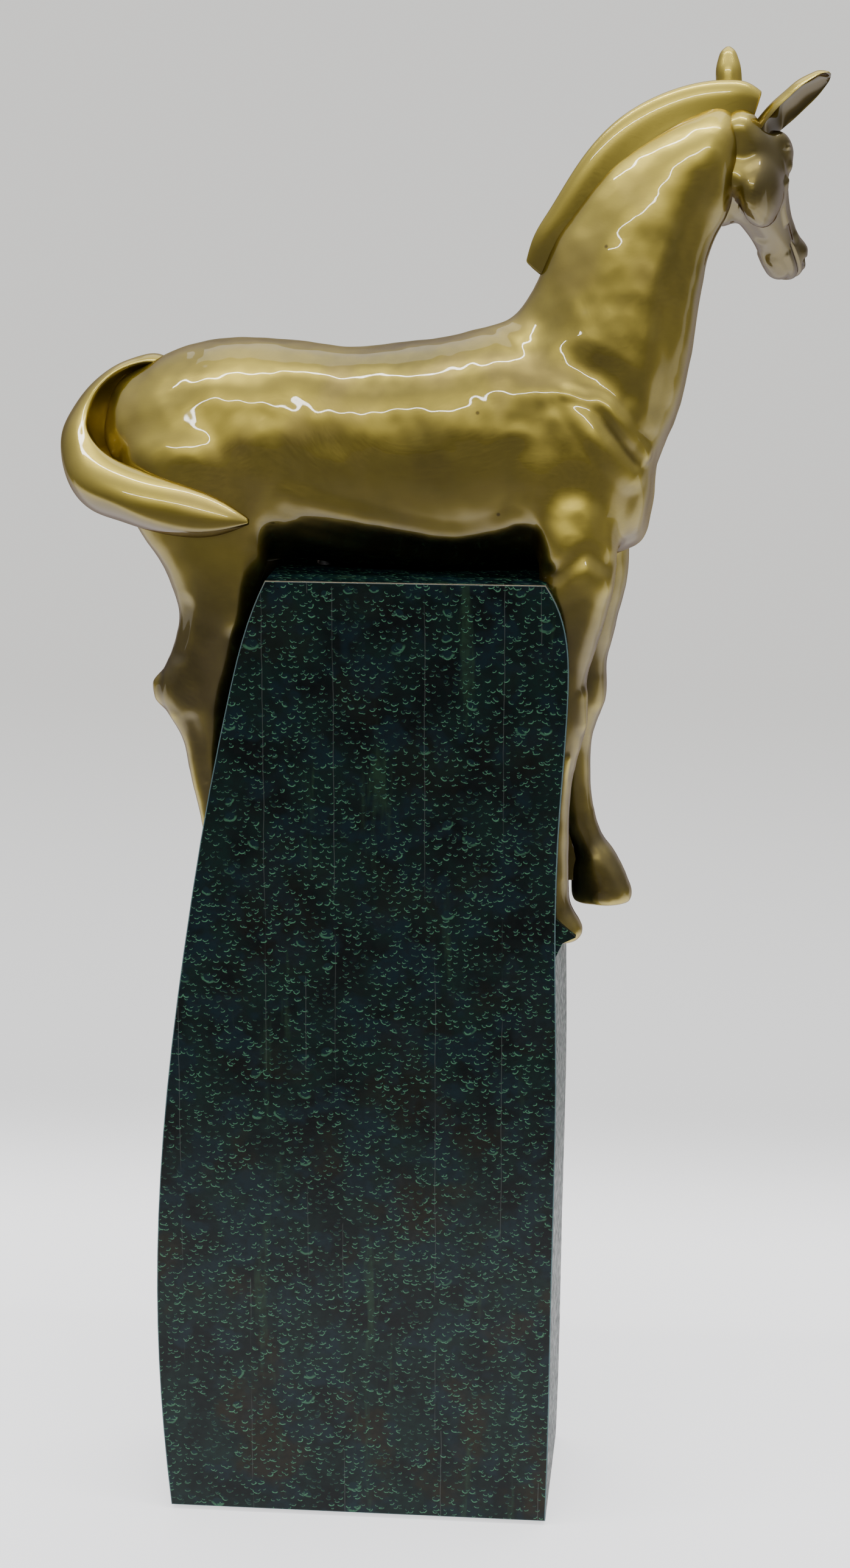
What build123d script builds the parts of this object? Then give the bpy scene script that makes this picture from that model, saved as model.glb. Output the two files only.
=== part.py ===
"""Bronze horse standing astride a tall patinated plinth: its castings, plates and fasteners.

Frame: millimetres, +Z up, origin at the middle of the underside. +X is the way the horse's
body faces, and -Y is the horse's right side. The horse's castings are placed from the plinth's
hind foot edge (HIND), its fore foot edge (FORE) and its top face (TOP), so they follow it.
"""
from build123d import *

import os

# ---- overall sizes ------------------------------------------------------------------------
PLINTH_HEIGHT = 454.0      # floor to the top face
PLINTH_LENGTH = 180.0      # along X at the foot
PLINTH_DEPTH = 96.0        # along Y

# ---- walls and plates ---------------------------------------------------------------------
PLATE = 4.0                # sheet of the plinth's faces
BODY_WALL = 4.5            # torso and neck castings
HEAD_WALL = 3.5            # head casting
EAR_WALL = 1.6
PAD = 2.0                  # rubber pad under the foot
PAD_INSET = 8.0            # pad edge to plinth edge
BOTTOM_PLATE = 3.0
STIFFENER = 6.0            # plate under the top that takes the studs
STIFFENER_SIDE_GAP = 4.0   # stiffener to the front and back plates
STIFFENER_END_GAP = 10.0   # stiffener to the ends of the top plate

# ---- top plate, from the foot edges ---------------------------------------------------------
TOP_FROM_HIND = 51.0       # hind foot edge to the hind end of the flat top
TOP_FROM_FORE = 4.0        # fore foot edge to the fore end of the flat top

# ---- studs that hold the horse down ---------------------------------------------------------
STUD_RADIUS = 4.0
STUD_FROM_HIND = 72.0
STUD_FROM_FORE = 42.0
STUD_TAIL = 4.0            # stud end below its nut
BOSS_RADIUS = 9.0
BOSS_HEIGHT = 20.0
BOSS_ROOF = 5.0            # blind end above the stud
WASHER_RADIUS = 9.0
WASHER = 1.6
NUT_FLATS = 13.0
NUT = 6.5

# ---- screws from inside the plinth into the legs ---------------------------------------------
LEG_SCREW_RADIUS = 2.5
LEG_SCREW_HEAD_RADIUS = 4.5
LEG_SCREW_HEAD = 4.0
LEG_SCREW_BITE = 7.0       # length past the plate's outer face
LEG_SCREW_SEAT = 1.0       # head sunk into the plate's inner face
FORE_SCREW_DROPS = (24.0, 52.0)
HIND_SCREW_DROPS = (34.0, 56.0)

# ---- bottom plate's lugs and screws -----------------------------------------------------------
LUG = (14.0, 10.0, 10.0)
LUG_FROM_END = 18.0        # lug centre from the foot edge
BOTTOM_SCREW_RADIUS = 2.0
BOTTOM_SCREW_HEAD_RADIUS = 3.8
BOTTOM_SCREW_HEAD = 1.8
BOTTOM_SCREW_BITE = 8.0

HIND = -PLINTH_LENGTH / 2
FORE = PLINTH_LENGTH / 2
TOP = PLINTH_HEIGHT
SIDE = PLINTH_DEPTH / 2
TOP_HIND = HIND + TOP_FROM_HIND
TOP_FORE = FORE - TOP_FROM_FORE
RIGHT, LEFT = -1, 1

# Sides of the plinth: (outward step from the foot edge, height), low points from the floor and
# high points from the top face.
HIND_LOW = [(0, 0), (3.5, 45), (5, 100)]
HIND_HIGH = [(-2, -240), (-11, -174), (-23, -104), (-34, -52), (-41, -25)]
FORE_LOW = [(0, 0), (1, 40), (2, 130)]
FORE_HIGH = [(3, -228), (2, -172), (3, -110), (6.5, -50), (3, -14)]

# Torso stations: (edge, X from that edge, centre height above TOP, half width, half height).
TORSO = [
    (HIND, -29, 57, 9, 10),
    (HIND, -21, 58, 24, 26),
    (HIND, -5, 55, 35, 38),
    (HIND, 15, 51, 41, 49),
    (HIND, 42, 50, 40, 52),
    (HIND, 72, 48.5, 38, 51.5),
    (FORE, -80, 48, 39, 52),
    (FORE, -50, 49, 40.5, 54),
    (FORE, -24, 54, 41.5, 57),
    (FORE, 2, 52, 40, 54),
    (FORE, 20, 45, 35, 44),
    (FORE, 34, 40, 24, 28),
    (FORE, 41, 38, 9, 11),
]

# Neck stations from (FORE, TOP): crest point, throat point, sideways shift, half width.
NECK = [
    ((-30, 102), (43, 44), 0, 35),
    ((-13, 129), (55, 81), 0, 28),
    ((-2, 153), (59.5, 113), 1, 24),
    ((12, 172), (62, 131), 2, 21.5),
    ((32, 191), (67, 149), 4, 19),
    ((55, 204), (73, 160), 6, 17),
    ((73, 208), (82, 178), 8, 12),
]

# Mane stations from (FORE, TOP): ridge point, root point, sideways shift, half thickness.
MANE = [
    ((-17, 139), (-8, 134), 0, 1.5),
    ((-9, 157), (6, 149), 0.5, 4),
    ((5, 179), (20, 166), 1, 5),
    ((25, 200), (35, 183), 2, 5.5),
    ((51, 213), (55, 194), 4, 5.5),
    ((74, 215), (73, 197), 6, 5),
    ((83, 210), (80, 197), 7, 3.5),
]

# Head: centre of the skull's back and of the muzzle, from (FORE, 0, TOP), then stations along
# the line between them: (distance, brow side, jaw side, half width).
POLL = (76, 4, 194)
MUZZLE = (99, 57, 136)
HEAD = [
    (-8, 8, -8, 8),
    (0, 12, -16, 14),
    (13, 14, -30, 17.5),
    (28, 13, -31, 17.5),
    (42, 10, -26, 14.5),
    (56, 8, -18, 11),
    (70, 8, -13, 10),
    (82, 8, -11, 10),
    (89, 3, -7, 6),
]

# Ears from (FORE, 0, TOP): root, tip, way the hollow faces.
RIGHT_EAR = ((88, 11, 196), (113, 8, 222), (0.45, -0.75, -0.45))
LEFT_EAR = ((73, 19, 198), (70.5, 22, 231), (0.4, 0.9, 0.1))
# Ear stations: share of its length, half width, half depth.
EAR = [(0, 4.5, 4.2), (0.25, 6.6, 4.8), (0.5, 6.9, 4.6), (0.78, 4.6, 3.2), (1, 0.9, 0.8)]
EAR_SCOOP = 3.0            # how far the hollow's centre stands towards its mouth

# Tail ribbon from (HIND, TOP): (x, y, z), way its width runs, half width, half thickness.
TAIL = [
    ((-4, 0, 86), (0, 1, 0), 8, 6),
    ((-22, -2, 83), (-0.05, 1, 0.05), 10.5, 5.5),
    ((-34, -8, 70), (-0.15, 0.95, 0.1), 12, 6),
    ((-35, -20, 53), (0.1, 0.7, 0.5), 12.5, 7),
    ((-24, -32, 40), (0.4, 0.3, 0.85), 14, 7.5),
    ((-5, -41, 32), (0.3, 0.05, 0.95), 14.5, 7.5),
    ((16, -45, 28), (0.15, -0.05, 0.98), 12.5, 6),
    ((40, -45, 24.5), (0, 0, 1), 3.5, 2.5),
]

# Leg stations: (X from the foot edge, Y in from the plinth's face, height from TOP, half sizes).
RIGHT_FORE_LEG = [
    (2, 34, 62, 12, 7),
    (8, 24, 32, 17, 15),
    (10, 18, 6, 17, 15.5),
    (8, 17, -20, 15.5, 13.5),
    (4.5, 15, -42, 11, 11),
    (4, 14, -57, 10, 11),
    (2, 14, -74, 9, 9.5),
    (0.5, 13.5, -104, 7, 8),
    (0.5, 13.5, -138, 7, 8.5),
    (2, 13.5, -151, 8, 9),
    (4.5, 13.5, -164, 8.5, 10.5),
]
LEFT_FORE_LEG = [
    (4, 34, 62, 12, 7),
    (11, 24, 32, 17, 15),
    (14, 19, 4, 16, 15),
    (12.5, 18, -24, 14, 13),
    (10, 18, -44, 12, 11.5),
    (9.5, 18, -62, 11, 11),
    (7, 18, -80, 9, 9),
    (6, 18, -101, 8, 8),
    (8, 18, -121, 8, 8.5),
    (13, 18, -136, 9, 9.5),
    (18, 18, -150, 11, 11),
    (21.5, 18, -166, 12.5, 12),
]
HIND_LEG = [
    (18, 32, 84, 14, 8),
    (18, 24, 56, 24, 17),
    (19, 21, 28, 26, 17.5),
    (22, 20, 6, 26, 16.5),
    (27, 18, -14, 18, 15),
    (22, 16, -34, 15, 13),
    (14, 16, -54, 14.5, 12),
    (15, 15, -70, 11, 10),
    (19, 15, -90, 9, 9),
    (22, 15, -112, 6, 7.5),
    (25, 15, -134, 4, 6),
]
HOOF_LEDGE = [(0, -152), (11, -162), (5, -165), (0, -176)]
LEDGE_IN, LEDGE_WIDTH = 2.0, 24.0
WEB_TOP, WEB_BOTTOM, WEB_REACH, WEB_THICK = -104.0, -155.0, 12.0, 10.0


def skin(sections):
    """Solid through elliptical sections: (centre, width direction, normal, half width, half depth)."""
    faces = []
    for centre, across, normal, half_width, half_depth in sections:
        plane = Plane(origin=centre, x_dir=across, z_dir=normal)
        faces.append(plane * Ellipse(half_width, half_depth))
    return loft(faces)


def thinned(sections, wall):
    """The same sections drawn in by the wall; those too small for a hollow are left out."""
    return [
        (centre, across, normal, half_width - wall, half_depth - wall)
        for centre, across, normal, half_width, half_depth in sections
        if min(half_width, half_depth) > 1.6 * wall
    ]


def torso_sections():
    return [
        (Vector(edge + x, 0, TOP + z), Vector(0, 1, 0), Vector(1, 0, 0), half_width, half_height)
        for edge, x, z, half_width, half_height in TORSO
    ]


def crest_sections(stations):
    """Sections between a crest point and a throat point, square to the line that joins them."""
    sections = []
    for crest, throat, shift, half_width in stations:
        first = Vector(FORE + crest[0], shift, TOP + crest[1])
        last = Vector(FORE + throat[0], shift, TOP + throat[1])
        across = Vector(0, 1, 0)
        normal = across.cross(last - first).normalized()
        normal = normal if normal.Z > 0 else -normal
        half_depth = (last - first).length / 2
        sections.append(((first + last) * 0.5, across, normal, half_width, half_depth))
    return sections


def head_sections():
    start = Vector(FORE + POLL[0], POLL[1], TOP + POLL[2])
    end = Vector(FORE + MUZZLE[0], MUZZLE[1], TOP + MUZZLE[2])
    along = (end - start).normalized()
    across = along.cross(Vector(0, 0, 1)).normalized()
    brow = across.cross(along)
    return [
        (start + along * distance + brow * ((top + jaw) / 2), across, along, half_width, (top - jaw) / 2)
        for distance, top, jaw, half_width in HEAD
    ]


def ear_pieces(ear):
    """Leaf-shaped outside of an ear, and the scoop that hollows it."""
    root, tip, facing = ear
    start = Vector(FORE + root[0], root[1], TOP + root[2])
    end = Vector(FORE + tip[0], tip[1], TOP + tip[2])
    along = (end - start).normalized()
    across = along.cross(Vector(*facing)).normalized()
    mouth = across.cross(along)
    outside, scoop = [], []
    for share, half_width, half_depth in EAR:
        centre = start + (end - start) * share
        outside.append((centre, across, along, half_width, half_depth))
        if share not in (0, 1):
            scoop.append((centre + mouth * EAR_SCOOP, across, along,
                          half_width - EAR_WALL, half_depth - EAR_WALL / 2))
    return skin(outside), skin(scoop)


def ribbon_sections(stations):
    """Sections square to the line through their centres."""
    centres = [Vector(HIND + x, y, TOP + z) for (x, y, z), *_ in stations]
    sections = []
    for index, (_, width_way, half_width, half_thick) in enumerate(stations):
        before, after = centres[max(index - 1, 0)], centres[min(index + 1, len(centres) - 1)]
        normal = (after - before).normalized()
        across = Vector(*width_way)
        across = (across - normal * across.dot(normal)).normalized()
        sections.append((centres[index], across, normal, half_width, half_thick))
    return sections


def leg_sections(stations, edge, side):
    """Level sections of a leg that stands off the plinth's hind or fore side."""
    return [
        (Vector(edge + x, side * (SIDE - inset), TOP + z), Vector(1, 0, 0), Vector(0, 0, -1), half_x, half_y)
        for x, inset, z, half_x, half_y in stations
    ]


def plinth_profile(inset):
    """Side view of the plinth, drawn in by an inset, from the pad's top to the top face."""
    hind = [(HIND - x + inset, z) for x, z in HIND_LOW] + [(HIND - x + inset, TOP + z) for x, z in HIND_HIGH]
    fore = [(FORE + x - inset, z) for x, z in FORE_LOW] + [(FORE + x - inset, TOP + z) for x, z in FORE_HIGH]
    hind.append((TOP_HIND + inset, TOP - inset))
    fore.append((TOP_FORE - inset, TOP - inset))
    edges = [
        Spline(*[Vector(x, 0, z) for x, z in hind]),
        Line(Vector(hind[-1][0], 0, hind[-1][1]), Vector(fore[-1][0], 0, fore[-1][1])),
        Spline(*[Vector(x, 0, z) for x, z in reversed(fore)]),
        Line(Vector(fore[0][0], 0, 0), Vector(hind[0][0], 0, 0)),
    ]
    return make_face(edges)


def block(low, high):
    """Box between two opposite corners."""
    size = [b - a for a, b in zip(low, high)]
    return Pos(*low) * Box(*size, align=(Align.MIN, Align.MIN, Align.MIN))


def prism(profile, y_low, y_high):
    """A side-view face carried along Y between two planes."""
    return extrude(Pos(0, y_low, 0) * profile, amount=y_high - y_low, dir=(0, 1, 0))


def rod(start, end, radius):
    """Round bar between two points."""
    axis = Vector(*end) - Vector(*start)
    return extrude(Plane(origin=start, z_dir=axis) * Circle(radius), amount=axis.length)


def far(low, high):
    """Box over the whole object between two X planes, above the pad."""
    return block((low, -2 * SIDE, PAD), (high, 2 * SIDE, 2 * TOP))


def plinth_side(edge, drop):
    """X of the plinth's outer face at a drop below the top, on the hind or fore side."""
    points = [(x, z) for x, z in (HIND_HIGH if edge == HIND else FORE_HIGH)]
    points.append((-TOP_FROM_HIND, 0) if edge == HIND else (-TOP_FROM_FORE, 0))
    for (x0, z0), (x1, z1) in zip(points, points[1:]):
        if z0 <= -drop <= z1:
            step = x0 + (x1 - x0) * (-drop - z0) / (z1 - z0)
            return edge - step if edge == HIND else edge + step
    return edge


def leg_screw(edge, drop, inset, side):
    """Cap screw from inside the plinth, through its side plate, into a leg."""
    outward = -1 if edge == HIND else 1
    face = plinth_side(edge, drop)
    y, z = side * (SIDE - inset), TOP - drop
    seat = face - outward * (PLATE - LEG_SCREW_SEAT)
    shank = rod((seat, y, z), (face + outward * LEG_SCREW_BITE, y, z), LEG_SCREW_RADIUS)
    head = rod((seat - outward * LEG_SCREW_HEAD, y, z), (seat, y, z), LEG_SCREW_HEAD_RADIUS)
    return head + shank


def build():
    """All the pieces, by name."""
    outline = plinth_profile(0)
    mass = prism(outline, -SIDE, SIDE) & block((-2 * TOP, -2 * SIDE, PAD), (2 * TOP, 2 * SIDE, 2 * TOP))
    inside_low, inside_high = -SIDE + PLATE, SIDE - PLATE
    core = prism(plinth_profile(PLATE), inside_low, inside_high)
    band = (mass - core) & block((-2 * TOP, inside_low, PAD), (2 * TOP, inside_high, 2 * TOP))

    # Outer forms of the horse, before any piece is cut to its neighbours.
    torso = skin(torso_sections())
    neck = skin(crest_sections(NECK))
    head = skin(head_sections())
    legs = {
        "right_fore_leg": skin(leg_sections(RIGHT_FORE_LEG, FORE, RIGHT)),
        "left_fore_leg": skin(leg_sections(LEFT_FORE_LEG, FORE, LEFT)),
        "right_hind_leg": skin(leg_sections(HIND_LEG, HIND, RIGHT)),
        "left_hind_leg": skin(leg_sections(HIND_LEG, HIND, LEFT)),
    }

    # Studs, bosses, washers and nuts.
    stud_places = [HIND + STUD_FROM_HIND, FORE - STUD_FROM_FORE]
    floor_of_belly = TOP + BODY_WALL
    under_top = TOP - PLATE
    under_stiffener = under_top - STIFFENER
    under_washer = under_stiffener - WASHER
    under_nut = under_washer - NUT
    stud_top = floor_of_belly + BOSS_HEIGHT - BOSS_ROOF
    studs = [rod((x, 0, under_nut - STUD_TAIL), (x, 0, stud_top), STUD_RADIUS) for x in stud_places]
    bosses = [rod((x, 0, floor_of_belly), (x, 0, floor_of_belly + BOSS_HEIGHT), BOSS_RADIUS) for x in stud_places]
    washers = [rod((x, 0, under_washer), (x, 0, under_stiffener), WASHER_RADIUS) for x in stud_places]
    nuts = [
        extrude(Pos(x, 0, under_nut) * RegularPolygon(NUT_FLATS / 2, 6, major_radius=False), amount=NUT)
        for x in stud_places
    ]

    # Screws into the legs.
    fore_insets = {RIGHT: RIGHT_FORE_LEG[3][1], LEFT: LEFT_FORE_LEG[3][1]}
    screws = [leg_screw(FORE, drop, fore_insets[s], s) for drop in FORE_SCREW_DROPS for s in (RIGHT, LEFT)]
    screws += [leg_screw(HIND, drop, HIND_LEG[5][1], s) for drop in HIND_SCREW_DROPS for s in (RIGHT, LEFT)]

    # Lugs, bottom plate and its screws.
    lug_x, lug_y, lug_z = LUG
    plate_top = PAD + BOTTOM_PLATE
    lugs, bottom_screws = [], []
    for x in (HIND + LUG_FROM_END, FORE - LUG_FROM_END):
        for side in (RIGHT, LEFT):
            y = side * (SIDE - PLATE - lug_y / 2)
            lugs.append(block((x - lug_x / 2, y - lug_y / 2, plate_top), (x + lug_x / 2, y + lug_y / 2, plate_top + lug_z)))
            countersink = Pos(x, y, PAD) * Cone(
                BOTTOM_SCREW_HEAD_RADIUS, BOTTOM_SCREW_RADIUS, BOTTOM_SCREW_HEAD,
                align=(Align.CENTER, Align.CENTER, Align.MIN))
            shank = rod((x, y, PAD + BOTTOM_SCREW_HEAD), (x, y, plate_top + BOTTOM_SCREW_BITE), BOTTOM_SCREW_RADIUS)
            bottom_screws.append(countersink + shank)

    # Ledge under the right fore hoof, and web behind the left fore pastern.
    ledge_profile = make_face(Polyline(*[Vector(FORE + x, 0, TOP + z) for x, z in HOOF_LEDGE], close=True))
    ledge = prism(ledge_profile, -SIDE + LEDGE_IN, -SIDE + LEDGE_IN + LEDGE_WIDTH) - mass
    web_y = SIDE - LEFT_FORE_LEG[-1][1]
    web = block((FORE - PLATE, web_y - WEB_THICK / 2, TOP + WEB_BOTTOM),
                (FORE + WEB_REACH, web_y + WEB_THICK / 2, TOP + WEB_TOP))
    web = web - mass - legs["left_fore_leg"]
    web = web.solids().sort_by(Axis.X)[0]

    pieces = {}
    # Plinth.
    pieces["plinth_front_plate"] = mass & block((-2 * TOP, -SIDE, 0), (2 * TOP, inside_low, 2 * TOP))
    pieces["plinth_back_plate"] = mass & block((-2 * TOP, inside_high, 0), (2 * TOP, SIDE, 2 * TOP))
    pieces["plinth_hind_plate"] = band & far(-2 * TOP, TOP_HIND)
    pieces["plinth_fore_plate"] = band & far(TOP_FORE, 2 * TOP)
    pieces["plinth_top_plate"] = band & far(TOP_HIND, TOP_FORE)
    pieces["fore_hoof_ledge"] = ledge
    pieces["pastern_web"] = web
    pieces["stiffener_plate"] = block(
        (TOP_HIND + STIFFENER_END_GAP, inside_low + STIFFENER_SIDE_GAP, under_stiffener),
        (TOP_FORE - STIFFENER_END_GAP, inside_high - STIFFENER_SIDE_GAP, under_top))
    pieces["bottom_plate"] = core & block((-2 * TOP, -SIDE, PAD), (2 * TOP, SIDE, plate_top))
    pieces["base_pad"] = extrude(
        RectangleRounded(PLINTH_LENGTH - 2 * PAD_INSET, PLINTH_DEPTH - 2 * PAD_INSET, PAD_INSET / 2), amount=PAD)

    # Castings.
    neck_hollow = skin(thinned(crest_sections(NECK), BODY_WALL))
    belly_hollow = skin(thinned(torso_sections(), BODY_WALL))
    belly_hollow -= block((-2 * TOP, -SIDE, 0), (2 * TOP, SIDE, floor_of_belly))
    pieces["torso_casting"] = torso - mass - belly_hollow - neck_hollow
    pieces["neck_casting"] = neck - torso - neck_hollow
    pieces["head_casting"] = head - skin(thinned(head_sections(), HEAD_WALL)) - neck
    pieces["mane_ridge"] = skin(crest_sections(MANE)) - neck - torso - head
    for name, ear in (("right_ear", RIGHT_EAR), ("left_ear", LEFT_EAR)):
        outside, scoop = ear_pieces(ear)
        pieces[name] = outside - scoop - head - neck - pieces["mane_ridge"]
    for name, leg in legs.items():
        pieces[name] = leg - torso - mass - neck
    pieces["right_fore_leg"] -= ledge
    pieces["tail_casting"] = skin(ribbon_sections(TAIL)) - torso - legs["right_hind_leg"]

    # Holes.
    for stud in studs:
        for name in ("torso_casting", "plinth_top_plate", "stiffener_plate"):
            pieces[name] -= stud
    for screw in screws:
        for name in ("plinth_hind_plate", "plinth_fore_plate", *legs):
            pieces[name] -= screw
    for screw in bottom_screws:
        pieces["bottom_plate"] -= screw

    # Groups of like fasteners.
    pieces["body_studs"] = studs
    pieces["belly_bosses"] = [boss - stud for boss, stud in zip(bosses, studs)]
    pieces["stud_washers"] = [washer - stud for washer, stud in zip(washers, studs)]
    pieces["stud_nuts"] = [nut - stud for nut, stud in zip(nuts, studs)]
    pieces["leg_screws"] = screws
    pieces["corner_lugs"] = [lug - screw for lug, screw in zip(lugs, bottom_screws)]
    pieces["bottom_screws"] = bottom_screws
    return pieces


def solids_of(piece):
    """The solids of a piece or of a group of pieces."""
    group = piece if isinstance(piece, list) else [piece]
    return [solid for item in group for solid in item.solids()]


os.makedirs("parts", exist_ok=True)
for name, piece in build().items():
    solids = solids_of(piece)
    print(name, len(solids), [round(solid.volume) for solid in solids])
    export_step(solids[0] if len(solids) == 1 else Compound(children=solids), f"parts/{name}.step")
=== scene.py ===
"""Bronze horse astride a tall patinated plinth: its visible castings, plates, finishes and studio.

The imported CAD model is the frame. Shapes are drawn in millimetres in the row's frame, with the
horse's heights counted from the plinth's top face, and every mesh is made in metres.
"""
from __future__ import annotations

import logging
from dataclasses import dataclass, replace
from enum import Enum
from math import cos, pi, radians, sin
from typing import Any, Callable, Iterable, Sequence

import bmesh
import bpy
import numpy as np
from mathutils import Matrix, Vector

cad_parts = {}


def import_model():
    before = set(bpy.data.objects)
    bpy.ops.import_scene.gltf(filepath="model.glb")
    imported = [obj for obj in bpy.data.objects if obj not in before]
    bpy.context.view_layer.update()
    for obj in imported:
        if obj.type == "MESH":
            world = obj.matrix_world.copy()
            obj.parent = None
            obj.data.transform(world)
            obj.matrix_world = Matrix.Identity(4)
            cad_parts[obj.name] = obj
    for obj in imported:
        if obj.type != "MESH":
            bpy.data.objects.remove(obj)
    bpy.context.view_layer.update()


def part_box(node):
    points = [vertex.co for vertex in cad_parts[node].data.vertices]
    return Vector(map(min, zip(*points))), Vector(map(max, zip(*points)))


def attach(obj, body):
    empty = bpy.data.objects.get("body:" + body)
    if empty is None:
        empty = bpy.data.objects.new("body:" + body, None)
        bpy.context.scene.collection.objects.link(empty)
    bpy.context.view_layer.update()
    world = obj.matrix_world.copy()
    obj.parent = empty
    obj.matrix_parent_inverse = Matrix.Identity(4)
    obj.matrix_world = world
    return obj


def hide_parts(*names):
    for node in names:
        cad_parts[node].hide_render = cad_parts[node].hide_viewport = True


LOG = logging.getLogger("horse")
MM = 0.001
Point = tuple[float, float, float]
Colour = tuple[float, float, float]
Section = Callable[[int, Vector], Vector]
Socket = bpy.types.NodeSocket
Fade = tuple[float, float, float, float]


# ---- lofted forms ---------------------------------------------------------------------------
@dataclass(frozen=True)
class Ring:
    """One cross-section of a form: where it is, which way it faces and how far it reaches.

    rise and fall are its reach along and against the up direction. A square of 2 is an ellipse
    and more is boxier; pinch narrows the section towards its rise side, and cup hollows that
    side down to a wall as thick as the rise.
    """

    centre: Point
    half_width: float
    rise: float
    fall: float
    square: float = 2.0
    pinch: float = 0.0
    across: Point = (0.0, 1.0, 0.0)
    up: Point = (0.0, 0.0, 1.0)
    cup: float = 0.0

    def row(self) -> list[float]:
        """The ring as one row of numbers."""
        reach = [self.half_width, self.rise, self.fall, self.square, self.pinch, self.cup]
        return [*self.centre, *self.across, *self.up, *reach]


def smooth_rows(rows: Sequence[Sequence[float]], steps: int) -> np.ndarray:
    """Carries rows of numbers along one natural cubic spline.

    Args:
        rows: the rows to pass through, each starting with a point.
        steps: rows made for each gap between two given rows.

    Returns:
        The denser rows, one per line of the array.
    """
    points = np.asarray(rows, float)
    count = len(points)
    gaps = np.linalg.norm(np.diff(points[:, :3], axis=0), axis=1)
    system, right = np.eye(count), np.zeros_like(points)
    for i in range(1, count - 1):
        system[i, i - 1:i + 2] = gaps[i - 1], 2 * (gaps[i - 1] + gaps[i]), gaps[i]
        ahead = (points[i + 1] - points[i]) / gaps[i]
        behind = (points[i] - points[i - 1]) / gaps[i - 1]
        right[i] = 6 * (ahead - behind)
    bend = np.linalg.solve(system, right)
    dense = []
    for i in range(count - 1):
        for late in np.linspace(0, 1, steps, endpoint=False):
            early = 1 - late
            curve = (early**3 - early) * bend[i] + (late**3 - late) * bend[i + 1]
            dense.append(early * points[i] + late * points[i + 1] + curve * gaps[i] ** 2 / 6)
    dense.append(points[-1])
    return np.array(dense)


def add_sections(bm: bmesh.types.BMesh, segments: int, sections: Iterable[Section]) -> None:
    """Adds a closed form through sections to a bmesh.

    Args:
        bm: the bmesh that takes the form.
        segments: vertices round each section.
        sections: for each section, what carries a vertex's number and its place on a unit circle
            to its place on the form.
    """
    last: list[bmesh.types.BMEdge] = []
    ends = []
    for section in sections:
        verts = bmesh.ops.create_circle(bm, segments=segments, radius=1.0)["verts"]
        for number, vert in enumerate(verts):
            vert.co = section(number, vert.co)
        edges = list({edge for vert in verts for edge in vert.link_edges})
        if last:
            bmesh.ops.bridge_loops(bm, edges=last + edges)
        else:
            ends += edges
        last = edges
    bmesh.ops.holes_fill(bm, edges=ends + last, sides=0)


def ring_section(row: np.ndarray) -> Section:
    """The section of a ring that is given as one row of numbers."""
    across, up = Vector(row[3:6]).normalized(), Vector(row[6:9])
    up = (up - across * up.dot(across)).normalized()
    half_width, rise, fall, square, pinch, cup = row[9:]

    def section(_: int, circle: Vector) -> Vector:
        flat, high = circle.x, circle.y
        side = abs(flat) ** (2 / square) * (1 if flat > 0 else -1) * half_width
        lift = abs(high) ** (2 / square) * (rise if high > 0 else -fall)
        if high > 0:
            lift += cup * abs(high) ** (2 / square) * (-fall)
        narrow = 1 - pinch * high
        return Vector(row[:3]) + across * side * narrow + up * lift

    return section


def add_loft(bm: bmesh.types.BMesh, rings: Sequence[Ring], steps: int = 5,
             segments: int = 40) -> None:
    """Adds a closed form through rings, with steps sections for each gap between two of them."""
    rows = smooth_rows([ring.row() for ring in rings], steps)
    add_sections(bm, segments, map(ring_section, rows))


def to_object(name: str, mesh: bpy.types.Mesh) -> bpy.types.Object:
    """Puts a mesh in the scene as an object at the origin."""
    obj = bpy.data.objects.new(name, mesh)
    bpy.context.scene.collection.objects.link(obj)
    return obj


def from_bmesh(name: str, bm: bmesh.types.BMesh) -> bpy.types.Mesh:
    """Turns a bmesh into a mesh and frees it."""
    mesh = bpy.data.meshes.new(name)
    bm.to_mesh(mesh)
    bm.free()
    return mesh


def opened(mesh: bpy.types.Mesh) -> bmesh.types.BMesh:
    """A bmesh with a mesh's vertices and faces."""
    bm = bmesh.new()
    bm.from_mesh(mesh)
    return bm


def relax(bm: bmesh.types.BMesh, verts: Any, passes: int = 1) -> None:
    """Moves vertices halfway towards the middle of their neighbours, pass after pass."""
    for _ in range(passes):
        bmesh.ops.smooth_vert(bm, verts=verts, factor=0.5, use_axis_x=True, use_axis_y=True,
                              use_axis_z=True)


def evaluated(mesh: bpy.types.Mesh, kind: str, **settings: Any) -> bpy.types.Mesh:
    """Runs one modifier on a mesh.

    Args:
        mesh: the mesh, which is used up.
        kind: the modifier's type.
        settings: the modifier's properties.

    Returns:
        The new mesh.
    """
    obj = to_object("working", mesh)
    modifier = obj.modifiers.new(kind.lower(), kind)
    for key, value in settings.items():
        setattr(modifier, key, value)
    graph = bpy.context.evaluated_depsgraph_get()
    made = bpy.data.meshes.new_from_object(obj.evaluated_get(graph))
    bpy.data.objects.remove(obj)
    bpy.data.meshes.remove(mesh)
    return made


def union_skin(mesh: bpy.types.Mesh, voxel: float) -> bpy.types.Mesh:
    """Joins a mesh's overlapping closed forms into one even skin."""
    return evaluated(mesh, "REMESH", mode="VOXEL", voxel_size=voxel, adaptivity=0.0)


def finer(mesh: bpy.types.Mesh) -> bpy.types.Mesh:
    """Divides every face of a skin in four and rounds it."""
    return evaluated(mesh, "SUBSURF", levels=1, render_levels=1)


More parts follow.
